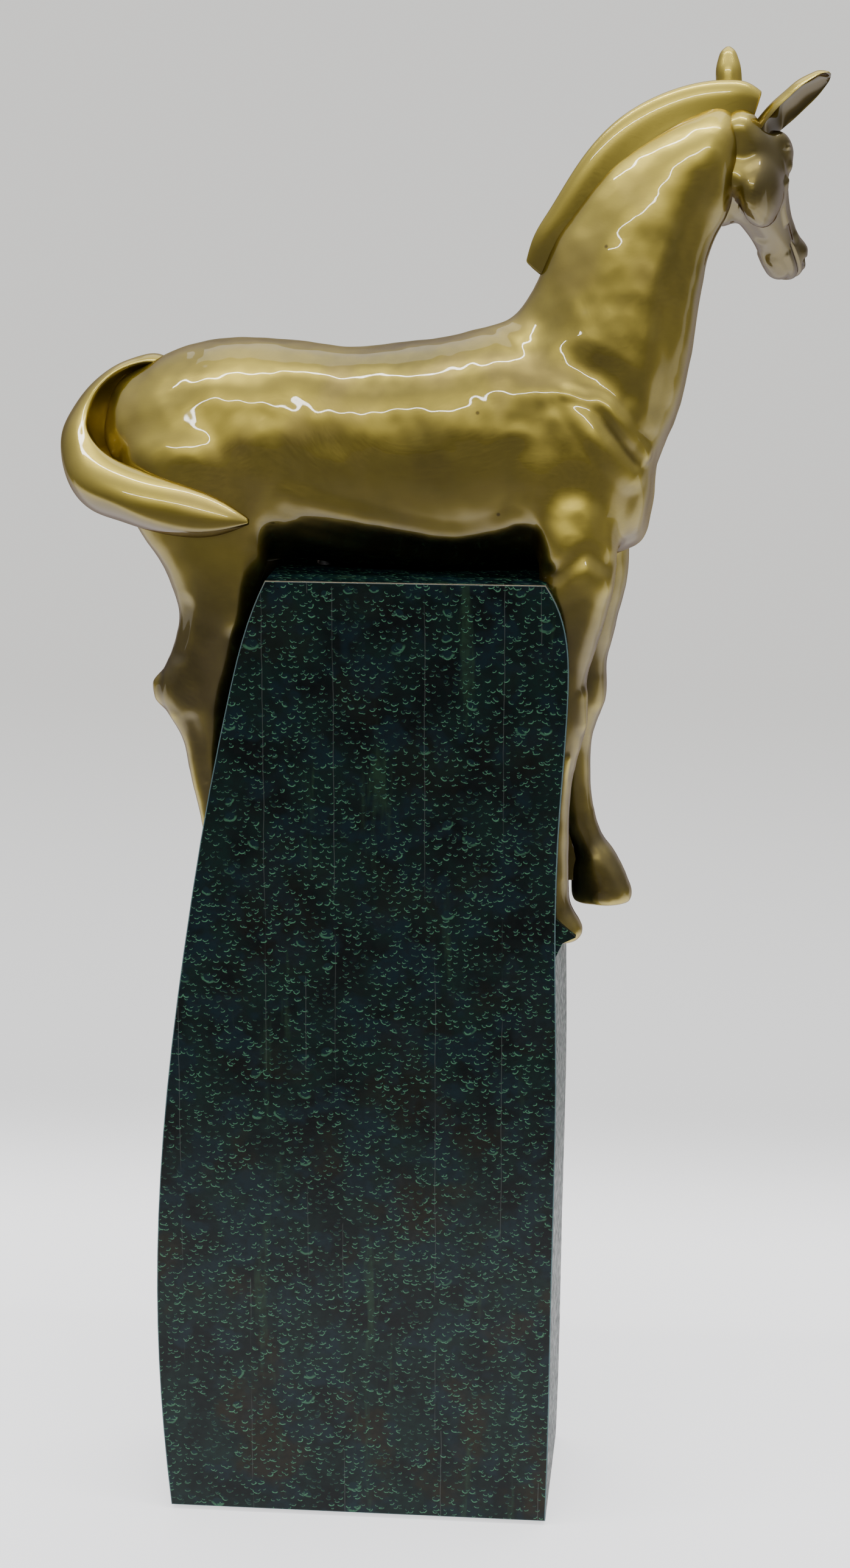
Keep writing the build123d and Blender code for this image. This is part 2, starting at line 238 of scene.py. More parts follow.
def coordinates(mesh: bpy.types.Mesh, what: str = "co") -> np.ndarray:
    """Vertex positions or normals of a mesh as an array with three columns."""
    flat = np.zeros(len(mesh.vertices) * 3)
    mesh.vertices.foreach_get(what, flat)
    return flat.reshape(-1, 3)


def place(mesh: bpy.types.Mesh, points: np.ndarray) -> None:
    """Moves a mesh's vertices to new positions."""
    mesh.vertices.foreach_set("co", points.ravel())
    mesh.update()


def distance_to_path(points: np.ndarray, path: Sequence[Point]) -> np.ndarray:
    """Distance of each point from a line through the path's points."""
    nearest = np.full(len(points), np.inf)
    corners = np.asarray(path, float)
    if len(corners) == 1:
        return np.linalg.norm(points - corners[0], axis=1)
    for start, end in zip(corners, corners[1:]):
        run = end - start
        along = np.clip((points - start) @ run / (run @ run), 0, 1)
        apart = np.linalg.norm(points - start - along[:, None] * run, axis=1)
        nearest = np.minimum(nearest, apart)
    return nearest


# ---- sculpting ------------------------------------------------------------------------------
class Touch(Enum):
    """How a stroke's height fades from its middle to its reach."""

    ROUND = "round"
    KEEN = "keen"


@dataclass(frozen=True)
class Stroke:
    """A raised or sunk line worked into a skin along a path; height below zero sinks it."""

    path: tuple[Point, ...]
    reach: float
    height: float
    touch: Touch = Touch.ROUND
    push: Point | None = None

    def apply(self, points: np.ndarray, normals: np.ndarray) -> None:
        """Moves the points that the stroke reaches."""
        path = smooth_path(self.path)
        low, high = path.min(axis=0) - self.reach, path.max(axis=0) + self.reach
        near = np.flatnonzero(((points > low) & (points < high)).all(axis=1))
        share = np.clip(1 - distance_to_path(points[near], path) / self.reach, 0, 1)
        fade = share**1.6 if self.touch is Touch.KEEN else share * share * (3 - 2 * share)
        way = normals[near] if self.push is None else np.asarray(self.push, float)
        points[near] += way * (fade * self.height)[:, None]


def flipped(point: Point) -> Point:
    """A point's mirror image across the middle plane."""
    return point[0], -point[1], point[2]


def both_sides(strokes: Sequence[Stroke]) -> list[Stroke]:
    """Strokes, and then the same strokes on the other side of the middle plane."""
    other = [replace(stroke, path=tuple(map(flipped, stroke.path))) for stroke in strokes]
    return [*strokes, *other]


def smooth_path(path: Sequence[Point]) -> np.ndarray:
    """A stroke's path, rounded where it has more than two points."""
    return smooth_rows(path, 4) if len(path) > 2 else np.asarray(path, float)


@dataclass(frozen=True)
class Blend:
    """A ball inside which forms are smoothed into each other."""

    centre: Point
    radius: float
    passes: int


def soften(mesh: bpy.types.Mesh, everywhere: int, blends: Iterable[Blend]) -> None:
    """Smooths a skin a little everywhere and more inside each blend."""
    bm = opened(mesh)
    relax(bm, bm.verts, everywhere)
    for blend in blends:
        middle = Vector(blend.centre)
        far = {vert: (vert.co - middle).length for vert in bm.verts}
        for turn in range(blend.passes):
            limit = blend.radius * (1 - 0.5 * turn / blend.passes)
            relax(bm, [vert for vert, distance in far.items() if distance < limit])
    bm.to_mesh(mesh)
    bm.free()
    mesh.update()


def sculpt(mesh: bpy.types.Mesh, strokes: Iterable[Stroke]) -> None:
    """Works strokes into a skin."""
    points, normals = coordinates(mesh), coordinates(mesh, "normal")
    for stroke in strokes:
        stroke.apply(points, normals)
    place(mesh, points)


def waver(mesh: bpy.types.Mesh, depth: float, waves: int = 14, shortest: float = 7.0,
          longest: float = 26.0) -> None:
    """Gives a skin the faint unevenness of hand-worked metal, which bends its reflections.

    Args:
        mesh: the skin, in millimetres.
        depth: height of each wave.
        waves: how many waves run across each other.
        shortest: length of the shortest wave.
        longest: length of the longest wave.
    """
    random = np.random.default_rng(11)
    points, normals = coordinates(mesh), coordinates(mesh, "normal")
    height = np.zeros(len(points))
    for _ in range(waves):
        way = random.normal(size=3)
        length, phase = random.uniform(shortest, longest), random.uniform(0, 2 * pi)
        along = points @ (way / np.linalg.norm(way))
        height += np.sin(along * 2 * pi / length + phase) * length
    place(mesh, points + normals * (height * depth / longest)[:, None])


def note_hollows(mesh: bpy.types.Mesh, passes: int, scale: float) -> None:
    """Stores on each vertex how deep it lies in a hollow, as the attribute 'hollow'.

    Args:
        mesh: the skin.
        passes: smoothing passes between the two shapes that are compared.
        scale: depth that counts as fully hollow.
    """
    before, normals = coordinates(mesh), coordinates(mesh, "normal")
    bm = opened(mesh)
    relax(bm, bm.verts, passes)
    after = np.array([vert.co[:] for vert in bm.verts])
    bm.free()
    depth = np.einsum("ij,ij->i", after - before, normals) / scale
    layer = mesh.attributes.new("hollow", "FLOAT", "POINT")
    layer.data.foreach_set("value", np.clip(depth, -1, 1).astype(np.float32))


def worked(name: str, bm: bmesh.types.BMesh, relaxing: int, passes: int) -> bpy.types.Mesh:
    """Turns a closed form into a finer mesh with its hollows noted.

    Args:
        name: the mesh's name.
        bm: the form, which is used up.
        relaxing: smoothing passes over the form.
        passes: smoothing passes that tell the hollows.

    Returns:
        The mesh.
    """
    bmesh.ops.recalc_face_normals(bm, faces=bm.faces)
    relax(bm, bm.verts, relaxing)
    mesh = finer(from_bmesh(name, bm))
    note_hollows(mesh, passes, 1.0)
    return mesh


def finish_mesh(mesh: bpy.types.Mesh, lift: float) -> None:
    """Carries a mesh from its drawing to the row's frame in metres, shaded smooth.

    Args:
        mesh: the mesh, in millimetres.
        lift: height in metres of the drawing's zero level.
    """
    mesh.transform(Matrix.Translation((0, 0, lift)) @ Matrix.Scale(MM, 4))
    mesh.shade_smooth()
    mesh.update()


# ---- the horse ------------------------------------------------------------------------------
@dataclass(frozen=True)
class Lump:
    """A round swelling: its middle and its reach along each axis."""

    centre: Point
    radii: Point


def add_lump(bm: bmesh.types.BMesh, lump: Lump) -> None:
    """Adds a lump as a closed egg to a bmesh."""
    size = Matrix.LocRotScale(Vector(lump.centre), None, Vector(lump.radii))
    bmesh.ops.create_icosphere(bm, subdivisions=4, radius=1.0, matrix=size)


def between(crest: Sequence[float], throat: Sequence[float], shift: float,
            half_width: float, square: float, pinch: float) -> Ring:
    """A ring that reaches from a crest point to a throat point, both given as (x, z)."""
    up = (crest[0] - throat[0], 0.0, crest[1] - throat[1])
    reach = (up[0] ** 2 + up[2] ** 2) ** 0.5 / 2
    centre = ((crest[0] + throat[0]) / 2, shift, (crest[1] + throat[1]) / 2)
    up = (up[0] / reach / 2, 0.0, up[2] / reach / 2)
    return Ring(centre, half_width, reach, reach, square, pinch, up=up)


def legs_rings(rows: Sequence[Sequence[float]]) -> tuple[Ring, ...]:
    """Level rings of a leg, each row (x, y, z, half width, reach forward, reach back)."""
    return tuple(
        Ring((x, y, z), half, front, back, 2.1, up=(1.0, 0.0, 0.0))
        for x, y, z, half, front, back in rows
    )


def mirrored(ring: Ring) -> Ring:
    """The same ring on the horse's other side."""
    return replace(ring, centre=flipped(ring.centre))


@dataclass(frozen=True)
class Body:
    """Torso, neck and legs: one skin worked as a whole, then parted at the castings' seams."""

    voxel: float = 2.2
    even_passes: int = 4
    wave_depth: float = 0.06
    hollow_passes: int = 30
    hollow_depth: float = 0.9
    seam_neck: tuple[Point, Point] = ((68, 0, 113), (0.684, 0, 0.728))
    seam_fore: float = 8.0
    seam_hind: float = 24.0
    fore_from: float = 74.0
    fore_below: float = 40.0
    hind_to: float = -36.0
    torso: tuple[Ring, ...] = (
        Ring((-119, 0, 57), 8, 8, 8),
        Ring((-114, 0, 57), 21, 22, 21),
        Ring((-104, 0, 56), 31, 32, 27),
        Ring((-92, 0, 55), 37, 39.5, 30),
        Ring((-77, 0, 53), 40, 47, 38, 2.1),
        Ring((-59, 0, 52), 40.5, 51, 53, 2.2),
        Ring((-42, 0, 52), 39.5, 50.5, 50.5, 2.2),
        Ring((-27, 0, 52), 38, 49.3, 49.5, 2.2),
        Ring((-10, 0, 51), 37.5, 48.2, 51, 2.2),
        Ring((8, 0, 51), 38, 49.3, 53, 2.2),
        Ring((28, 0, 51), 39.5, 51.7, 54, 2.2),
        Ring((46, 0, 52), 40.5, 54, 55, 2.2),
        Ring((60, 0, 54), 41, 56, 55, 2.1),
        Ring((72, 0, 56), 41, 58, 55, 2.0, 0.1),
        Ring((86, 0, 56), 41, 58, 54.5, 2.0, 0.15),
        Ring((100, 0, 54), 40, 54, 50, 2.1, 0.15),
        Ring((113, 0, 50), 36.5, 46, 44, 2.2, 0.1),
        Ring((123, 0, 45), 29, 34, 35, 2.2),
        Ring((130, 0, 42), 18, 20, 24, 2.2),
        Ring((133, 0, 41), 7, 8, 10),
    )
    neck: tuple[Ring, ...] = tuple(between(*row) for row in (
        ((52, 98), (131, 38), 0, 35, 2.0, 0.25),
        ((66, 112), (139, 62), 0, 32, 2.0, 0.25),
        ((77, 128), (145, 82), 0, 28.5, 2.0, 0.25),
        ((85, 147), (149, 108), 0.5, 25, 2.0, 0.22),
        ((96, 163.5), (151.5, 126), 1.5, 22.5, 2.0, 0.2),
        ((110, 181), (154, 139), 3, 20.5, 2.0, 0.18),
        ((127, 194), (158, 150), 5, 19, 2.0, 0.15),
        ((146, 203), (162, 158), 6, 19, 2.0, 0.1),
        ((158.5, 206.5), (166, 168), 8.5, 16.2, 2.0, 0.1),
        ((166.5, 203), (170, 177), 12.5, 11, 2.0, 0.0),
    ))
    right_fore: tuple[Ring, ...] = legs_rings((
        (90, -20, 62, 12, 16, 16),
        (96, -27, 34, 15, 19, 18),
        (98, -29.5, 14, 15.5, 18.5, 17),
        (98, -30, 2, 15.5, 18.5, 16),
        (97, -31, -10, 15, 17.2, 15),
        (95.5, -32, -23, 13.5, 15.5, 14),
        (94, -33, -33, 12, 13.5, 13),
        (93, -34, -43, 11, 11.7, 12),
        (92.5, -34, -52, 10.8, 11.6, 12),
        (92.5, -34, -64, 10.8, 11.6, 12),
        (91.5, -34.5, -73, 10, 11.6, 10),
        (90.5, -34.5, -84, 8.6, 9.2, 9),
        (90, -34.5, -100, 7.8, 7.4, 8),
        (90, -34.5, -125, 7.6, 7, 8),
        (90, -34.5, -142, 8, 7.2, 8),
        (91, -34.5, -151, 8.6, 7.8, 8),
        (93, -34.5, -157, 9.4, 9.6, 8),
        (94, -34.5, -163, 10, 10.2, 9),
        (93.5, -34.5, -167, 9.6, 8, 9),
    ))
    left_fore: tuple[Ring, ...] = legs_rings((
        (92, 20, 62, 12, 16, 16),
        (100, 27, 34, 15, 20, 18),
        (103, 29, 14, 15, 18, 17),
        (103.5, 30, 0, 14.5, 17, 16),
        (103, 30, -14, 14, 16, 15),
        (102, 30, -28, 12.5, 13.6, 13),
        (100.5, 30, -40, 11.2, 12.6, 11.5),
        (99.5, 30, -50, 10.6, 11.6, 10.5),
        (99, 30, -62, 10.6, 12.2, 10.5),
        (98.5, 30, -71, 10, 11.2, 9.8),
        (97, 30, -80, 8.8, 9.2, 8.6),
        (96.5, 30, -92, 7.8, 7.6, 8),
        (96.5, 30, -106, 7.4, 7.6, 7.8),
        (97, 30, -118, 7.8, 8.2, 8),
        (99.5, 30, -128, 8.4, 8.4, 8.6),
        (102.5, 30, -136, 8.4, 8.7, 8.4),
        (106, 30, -143, 8.8, 9.6, 8.6),
    ))
    left_hoof: tuple[Ring, ...] = legs_rings((
        (105, 30, -137, 8, 8, 7),
        (106.5, 30, -142, 10, 9.6, 9.6),
        (107.5, 30, -147, 11.2, 11.6, 12.2),
        (109.5, 30, -155, 12.2, 13, 14.4),
        (110.5, 30, -163, 13, 14.4, 15.4),
        (110.5, 30, -166.4, 12.7, 13.8, 15),
    ))
    hind: tuple[Ring, ...] = legs_rings((
        (-74, -16, 74, 12, 16, 18),
        (-74, -25, 62, 16.5, 25, 29),
        (-74, -27.5, 46, 17.2, 31, 34),
        (-73, -28, 30, 16.6, 32.3, 31.5),
        (-70, -28.5, 16, 16, 29.5, 27),
        (-66.5, -29, 5, 15.5, 26, 22.8),
        (-64, -29.5, -6, 15, 20, 20.2),
        (-62.5, -30, -17, 14.5, 16, 18.6),
        (-64, -30.5, -28, 13.6, 15, 18.2),
        (-68, -31, -40, 12.8, 17, 18.6),
        (-72, -31.5, -51, 12.2, 17, 18.8),
        (-72, -32, -59, 11.6, 15, 17.8),
        (-70, -32.2, -67, 10.8, 12.5, 15),
        (-68.5, -32.6, -77, 9.8, 10, 11.2),
        (-68, -33, -91, 9, 9, 9),
        (-66, -33, -107, 8.5, 8, 7.5),
        (-64, -33, -124, 8, 7, 6),
        (-62, -33, -142, 7, 6, 4),
    ))
    blends: tuple[Blend, ...] = (
        Blend((100, 0, 105), 52, 26),
        Blend((98, 0, 40), 52, 22),
        Blend((-72, 0, 50), 62, 24),
        Blend((0, 0, 60), 78, 10),
        Blend((-42, 32, 6), 30, 34),
    )
    groin: Lump = Lump((-45, 26, 5), (12, 14, 14))
    strokes: tuple[Stroke, ...] = (
        # hollow of the flank, thigh's front edge, point of the hip, loin
        Stroke(((-22, -38, 72), (-20, -40, 56), (-24, -38, 42)), 26, -1.7),
        Stroke(((-46, -40, 60), (-42, -41, 44), (-42, -38, 28)), 16, 1.2),
        Stroke(((-60, -34, 84), (-48, -35, 82)), 18, 0.9),
        Stroke(((-108, -22, 50), (-98, -36, 42), (-90, -40, 26)), 15, -1.0),
        # shoulder blade's two ridges, the leaf between them and the hollows round it
        Stroke(((92, -38, 86), (103, -40, 73), (113, -38, 59), (124, -31, 46)), 10, 2.0),
        Stroke(((94, -37, 85), (109, -36, 80), (118, -32, 69), (128, -25, 55)), 6.5, 1.5),
        Stroke(((108, -37, 74), (117, -34, 62), (124, -29, 52)), 5, -0.3),
        Stroke(((90, -36, 100), (104, -32, 93), (118, -28, 82)), 14, -2.0),
        Stroke(((82, -40, 74), (87, -41, 60), (92, -41, 44)), 15, -1.6),
        Stroke(((56, -8, 112), (68, -22, 107), (80, -33, 99), (91, -38, 88)), 6, -1.1),
        Stroke(((66, -30, 92), (76, -36, 84)), 15, 1.0),
        # upper arm, forearm's fold and chest
        Stroke(((76, -41, 30), (86, -43, 22), (98, -42, 10)), 12, 1.2),
        Stroke(((82, -40, 4), (93, -44, 6), (104, -44, 14), (113, -41, 9), (121, -35, 10)),
               7, -1.0),
        Stroke(((90, -45, -4), (103, -46, 3), (113, -42, -2)), 10, 1.1),
        Stroke(((129, -23, 55), (128.5, -24, 33), (122, -28, 14)), 10, 1.0),
        Stroke(((119, -33, 52), (117, -35, 36), (114, -38, 22)), 13, -0.5),
        Stroke(((132, 0, 60), (131, 0, 40), (124, 0, 18)), 10, -2.2),
        # front of the neck beside the windpipe, and the neck's side
        Stroke(((162, -7, 184), (157, -11, 168), (149, -16, 148), (142, -21, 122), (140, -23, 100),
                (137, -25, 78)), 14, -1.4),
        Stroke(((150, -12, 190), (128, -19, 172), (112, -25, 146)), 20, 1.0),
        # turn of the belly and the girth behind the elbow
        Stroke(((-30, -34, 36), (-8, -35, 29), (12, -36, 24), (48, -36, 18), (72, -36, 25)),
               9, 1.1),
        Stroke(((72, -40, 56), (70, -38, 34), (74, -34, 16)), 12, -1.2),
        Stroke(((-24, -30, 20), (10, -30, 12), (50, -30, 8)), 9, -0.9),
        # hock, its tendon, and the second thigh
        Stroke(((-90, -31, -50), (-88, -31, -57)), 7, 3.2, push=(-1.0, 0.0, -0.1)),
        Stroke(((-84, -40, -66), (-77, -41, -92), (-71, -40, -120)), 6, 0.9),
        Stroke(((-74, -43, -66), (-69, -43, -90), (-65, -41, -118)), 6, -0.8),
        Stroke(((-52, -45, 20), (-50, -45, 0), (-52, -44, -20)), 10, 1.4),
        Stroke(((-78, -43, -14), (-82, -42, -34)), 8, -1.5),
        # knees and tendons of the fore legs
        Stroke(((101, -37, -52), (101, -36, -64)), 7, 1.4),
        Stroke(((84, -40, -50), (84, -40, -62)), 5, 1.2),
        Stroke(((90, -45, -46), (90, -45, -70)), 4.5, -0.9),
        Stroke(((96, -42, -80), (96, -42, -136)), 3.0, 0.8),
        Stroke(((88, -43, -80), (88, -43, -138)), 2.6, -1.0),
        Stroke(((84, -42, -146), (86, -43, -153)), 4.5, 1.0),
    )
    knee: tuple[Stroke, ...] = (
        Stroke(((104, 27, -58), (104, 27, -68)), 7, 1.4),
        Stroke(((112, 30, -152), (116, 24, -157), (120, 30, -159)), 3.0, 0.5),
    )

    def rough(self) -> bpy.types.Mesh:
        """The torso, neck and legs as overlapping closed forms."""
        bm = bmesh.new()
        hind_left = [mirrored(ring) for ring in self.hind]
        fore = (self.right_fore, self.left_fore, self.left_hoof)
        for rings in (self.torso, self.neck, *fore, self.hind, hind_left):
            add_loft(bm, rings)
        add_lump(bm, self.groin)
        bmesh.ops.recalc_face_normals(bm, faces=bm.faces)
        return from_bmesh("rough_body", bm)

    def skin(self) -> bpy.types.Mesh:
        """The finished skin of torso, neck and legs, in millimetres from the plinth's top."""
        mesh = union_skin(self.rough(), self.voxel)
        soften(mesh, self.even_passes, self.blends)
        mesh = finer(mesh)
        sculpt(mesh, (*both_sides(self.strokes), *self.knee))
        waver(mesh, self.wave_depth)
        note_hollows(mesh, self.hollow_passes, self.hollow_depth)
        return mesh

    def castings(self) -> dict[str, bpy.types.Mesh]:
        """The skin parted at its seams: one closed mesh for each casting, by its node's name."""
        mesh = self.skin()
        shade = mesh.attributes.new("shade", "FLOAT_VECTOR", "POINT")
        shade.data.foreach_set("vector", coordinates(mesh, "normal").astype(np.float32).ravel())
        bm = opened(mesh)
        point, normal = (Vector(value) for value in self.seam_neck)
        fore = [
            face for face in bm.faces
            if face.calc_center_median().x > self.fore_from
            and face.calc_center_median().z < self.fore_below
        ]
        cut(bm, fore, Vector((0, 0, self.seam_fore)), Vector((0, 0, 1)))
        hind = [f for f in bm.faces if f.calc_center_median().x < self.hind_to]
        cut(bm, hind, Vector((0, 0, self.seam_hind)), Vector((0, 0, 1)))
        cut(bm, list(bm.faces), point, normal)
        bm.faces.index_update()
        groups: dict[str, set[int]] = {}
        for face in bm.faces:
            name = self.casting_of(face.calc_center_median(), point, normal)
            groups.setdefault(name, set()).add(face.index)
        pieces = {}
        for name, keep in groups.items():
            piece = bm.copy()
            piece.faces.ensure_lookup_table()
            drop = [face for face in piece.faces if face.index not in keep]
            bmesh.ops.delete(piece, geom=drop, context="FACES")
            pieces[name] = closed_with_normals(name, piece)
        bm.free()
        return pieces

    def casting_of(self, middle: Vector, point: Vector, normal: Vector) -> str:
        """Name of the casting that a face belongs to."""
        side = "right" if middle.y < 0 else "left"
        if (middle - point).dot(normal) > 0:
            return "neck_casting"
        if middle.x > self.fore_from and middle.z < self.seam_fore:
            return f"{side}_fore_leg"
        if middle.x < self.hind_to and middle.z < self.seam_hind:
            return f"{side}_hind_leg"
        return "torso_casting"


def cut(bm: bmesh.types.BMesh, faces: list[bmesh.types.BMFace], point: Vector,
        normal: Vector) -> None:
    """Cuts faces along a plane without removing any."""
    edges = {edge for face in faces for edge in face.edges}
    verts = {vert for face in faces for vert in face.verts}
    bmesh.ops.bisect_plane(bm, geom=[*faces, *edges, *verts], plane_co=point, plane_no=normal,
                           dist=0.01)


def closed_with_normals(name: str, bm: bmesh.types.BMesh) -> bpy.types.Mesh:
    """Closes a parted skin's seams and shades it as the whole skin was shaded.

    Args:
        name: the mesh's name.
        bm: the parted skin, which is used up.

    Returns:
        The closed mesh.
    """
    bmesh.ops.delete(bm, geom=[vert for vert in bm.verts if not vert.link_faces], context="VERTS")
    skin_faces = len(bm.faces)
    rim = [edge for edge in bm.edges if edge.is_boundary]
    bmesh.ops.holes_fill(bm, edges=rim, sides=0)
    for edge in rim:
        edge.smooth = False
    mesh = from_bmesh(name, bm)
    shade = np.zeros(len(mesh.vertices) * 3, np.float32)
    mesh.attributes["shade"].data.foreach_get("vector", shade)
    shade = shade.reshape(-1, 3)
    corners = np.zeros(len(mesh.loops), np.int64)
    mesh.loops.foreach_get("vertex_index", corners)
    normals = shade[corners]
    mesh.shade_smooth()
    for face in mesh.polygons[skin_faces:]:
        normals[face.loop_start:face.loop_start + face.loop_total] = face.normal
    mesh.normals_split_custom_set([tuple(normal) for normal in normals])
    mesh.attributes.remove(mesh.attributes["shade"])
    return mesh


# ---- head, ears, mane and tail ----------------------------------------------------------------
@dataclass(frozen=True)
class Head:
    """Skull, cheeks, eyes, muzzle and chin, drawn along the face and then turned into place.

    The drawing's X runs from the poll to the nose, Y to the horse's right and Z to the brow.
    """

    poll: Point = (166, 4, 194)
    along: Point = (0.281, 0.640, -0.722)
    right: Point = (0.917, -0.398, 0.0)
    voxel: float = 1.0
    skull_passes: int = 20
    eye_passes: int = 7
    hollow_passes: int = 24
    hollow_depth: float = 1.5
    skull: tuple[Ring, ...] = tuple(
        Ring((s, 0, 0), half, top, fall, square, pinch) for s, top, fall, half, square, pinch in (
            (-6, 2.5, 3, 4, 2.0, 0.0),
            (-2, 6.8, 7.2, 8.4, 2.0, 0.0),
            (4, 10.8, 11.5, 12.0, 2.0, 0.0),
            (11, 13, 15, 14.2, 2.1, 0.0),
            (20, 14.5, 19, 16.4, 2.2, -0.06),
            (31, 13.6, 20.5, 14.4, 2.3, -0.1),
            (42, 11.6, 18.5, 11.6, 2.4, -0.1),
            (54, 9.6, 15, 9.8, 2.4, -0.05),
            (66, 8.8, 12.5, 9.1, 2.4, 0.0),
            (76, 9, 10.5, 9.7, 2.3, 0.0),
            (84, 7.5, 9, 9, 2.2, 0.0),
            (90, 3.5, 6, 6.5, 2.0, 0.0),
            (92.5, 0, 2.5, 3, 2.0, 0.0),
        ))
    cheek: Lump = Lump((22.5, 8.6, -12), (17, 8.4, 17.5))
    throat: Lump = Lump((14, 0, -13), (10, 9, 10))
    crown: Lump = Lump((1.0, 0.0, 2.0), (10.0, 9.0, 9.6))
    brow: Lump = Lump((18.5, 12.8, 8.6), (11, 5.2, 5.4))
    eye: Lump = Lump((25, 13.4, 4.6), (4.4, 4.0, 3.6))
    nostril: Lump = Lump((79, 6.8, 3), (7, 4.6, 5))
    lower_lip: Lump = Lump((77, 0, -9), (8, 6.8, 5.2))
    chin: Lump = Lump((71, 0, -10.5), (6.5, 5.8, 4.6))
    lines: tuple[Stroke, ...] = (
        Stroke(((28, 15.4, -3), (40, 12.6, -4), (52, 10.6, -3.5)), 4.2, 1.5),
        Stroke(((32, 9, 12), (48, 6, 10.2), (66, 5, 8.6)), 4.0, 1.1),
        Stroke(((36, 13, 4), (50, 10.2, 2.5), (66, 9, 1)), 5.5, -1.5),
        Stroke(((15.5, 18, 6.8), (20, 19.4, 9.6), (25, 19, 9.4), (30, 16.6, 6)), 2.2, 1.2),
        Stroke(((17.5, 18, 4.6), (22, 19.6, 7.4), (27, 18.6, 6.8), (30, 16.4, 4.4)), 1.5, -1.3,
               Touch.KEEN),
        Stroke(((18, 18, 3), (23, 18.8, 1.4), (29, 16.8, 2.6)), 1.6, -0.9, Touch.KEEN),
        Stroke(((17, 17.6, 0.4), (24, 17.6, -1.2), (31, 15.4, 0)), 2.4, 0.7),
        Stroke(((82.5, 10.4, 5.2), (84.5, 9.8, 2.6), (83, 10.4, -0.4)), 2.6, -2.6),
        Stroke(((79, 11.4, 6.4), (83, 10.4, 7), (87.2, 8.6, 4.2), (87.4, 8.4, 0.6)), 2.2, 0.9),
        Stroke(((66, 9.4, -4.6), (76, 9.4, -5), (84, 8.4, -4.8), (90, 4, -4.2), (91.5, 0, -4)),
               1.7, -1.6, Touch.KEEN),
        Stroke(((70, 7.2, -8.4), (78, 7.4, -8), (86, 4.6, -7.6)), 3.2, 0.7),
        Stroke(((8, 12, -24), (20, 12, -31), (34, 11.4, -24), (41, 10.4, -14)), 4.6, 0.9),
        Stroke(((0, 14, -4), (3, 15.2, -12), (5, 15.2, -21)), 4.6, -1.0),
    )
    hollow: tuple[Stroke, ...] = (
        Stroke(((12, 0, -30), (32, 0, -24), (52, 0, -16)), 6, -1.0),
    )

    def mesh(self) -> bpy.types.Mesh:
        """The finished head in the drawing's millimetres."""
        bm = bmesh.new()
        add_loft(bm, self.skull)
        for lump in (self.crown, self.throat, self.lower_lip, self.chin):
            add_lump(bm, lump)
        for lump in (self.cheek, self.brow, self.nostril):
            self.add_pair(bm, lump)
        bmesh.ops.recalc_face_normals(bm, faces=bm.faces)
        mesh = union_skin(from_bmesh("rough_head", bm), self.voxel)
        soften(mesh, self.skull_passes, ())
        bm = opened(mesh)
        self.add_pair(bm, self.eye)
        bm.to_mesh(mesh)
        bm.free()
        mesh = union_skin(mesh, self.voxel)
        soften(mesh, self.eye_passes, ())
        mesh = finer(mesh)
        sculpt(mesh, (*both_sides(self.lines), *self.hollow))
        note_hollows(mesh, self.hollow_passes, self.hollow_depth)
        mesh.transform(self.turned())
        return mesh

    @staticmethod
    def add_pair(bm: bmesh.types.BMesh, lump: Lump) -> None:
        """Adds a lump and its mirror image to a bmesh."""
        add_lump(bm, lump)
        add_lump(bm, replace(lump, centre=flipped(lump.centre)))

    def turned(self) -> Matrix:
        """Turns the drawing into the horse's frame."""
        along, right = Vector(self.along).normalized(), Vector(self.right)
        right = (right - along * right.dot(along)).normalized()
        brow = right.cross(along)
        turn = Matrix((along, right, brow)).transposed()
        return Matrix.Translation(Vector(self.poll)) @ turn.to_4x4()


@dataclass(frozen=True)
class Ear:
    """A cupped leaf on a round base, from its root in the skull to its tip."""

    root: Point
    tip: Point
    facing: Point
    girth: float
    cup_depth: float = 0.9
    shape: tuple[tuple[float, ...], ...] = (
        (-0.08, 4.6, 4.4, 5.4, 0.0),
        (0.06, 5.2, 4.2, 6.6, 0.05),
        (0.2, 6.0, 2.6, 7.4, 0.4),
        (0.36, 6.9, 1.3, 7.6, 0.85),
        (0.54, 6.9, 1.2, 7.2, 0.95),
        (0.72, 6.6, 1.1, 6.6, 0.95),
        (0.87, 5.0, 1.0, 4.8, 0.85),
        (0.96, 2.9, 0.9, 2.8, 0.5),
        (1.0, 0.8, 0.5, 0.7, 0.0),
    )

    def mesh(self, name: str) -> bpy.types.Mesh:
        """The finished ear in millimetres."""
        root, tip = Vector(self.root), Vector(self.tip)
        along = (tip - root).normalized()
        across = along.cross(Vector(self.facing)).normalized()
        mouth = across.cross(along)
        rings = [
            Ring(tuple(root.lerp(tip, share)), half * self.girth, wall, back, 2.1,
                 across=tuple(across), up=tuple(mouth), cup=cup)
            for share, half, wall, back, cup in self.shape
        ]
        bm = bmesh.new()
        add_loft(bm, rings, 6, 56)
        mesh = worked(name, bm, 0, 30)
        self.darken_cup(mesh, mouth)
        return mesh

    def darken_cup(self, mesh: bpy.types.Mesh, mouth: Vector) -> None:
        """Marks the inside of the cup as hollow, short of its rim."""
        layer = mesh.attributes["hollow"]
        depth = np.empty(len(mesh.vertices), dtype=np.float32)
        layer.data.foreach_get("value", depth)
        inward = coordinates(mesh, "normal") @ np.array(mouth) > 0.2
        depth[inward & (depth > -0.2)] = self.cup_depth
        layer.data.foreach_set("value", depth)


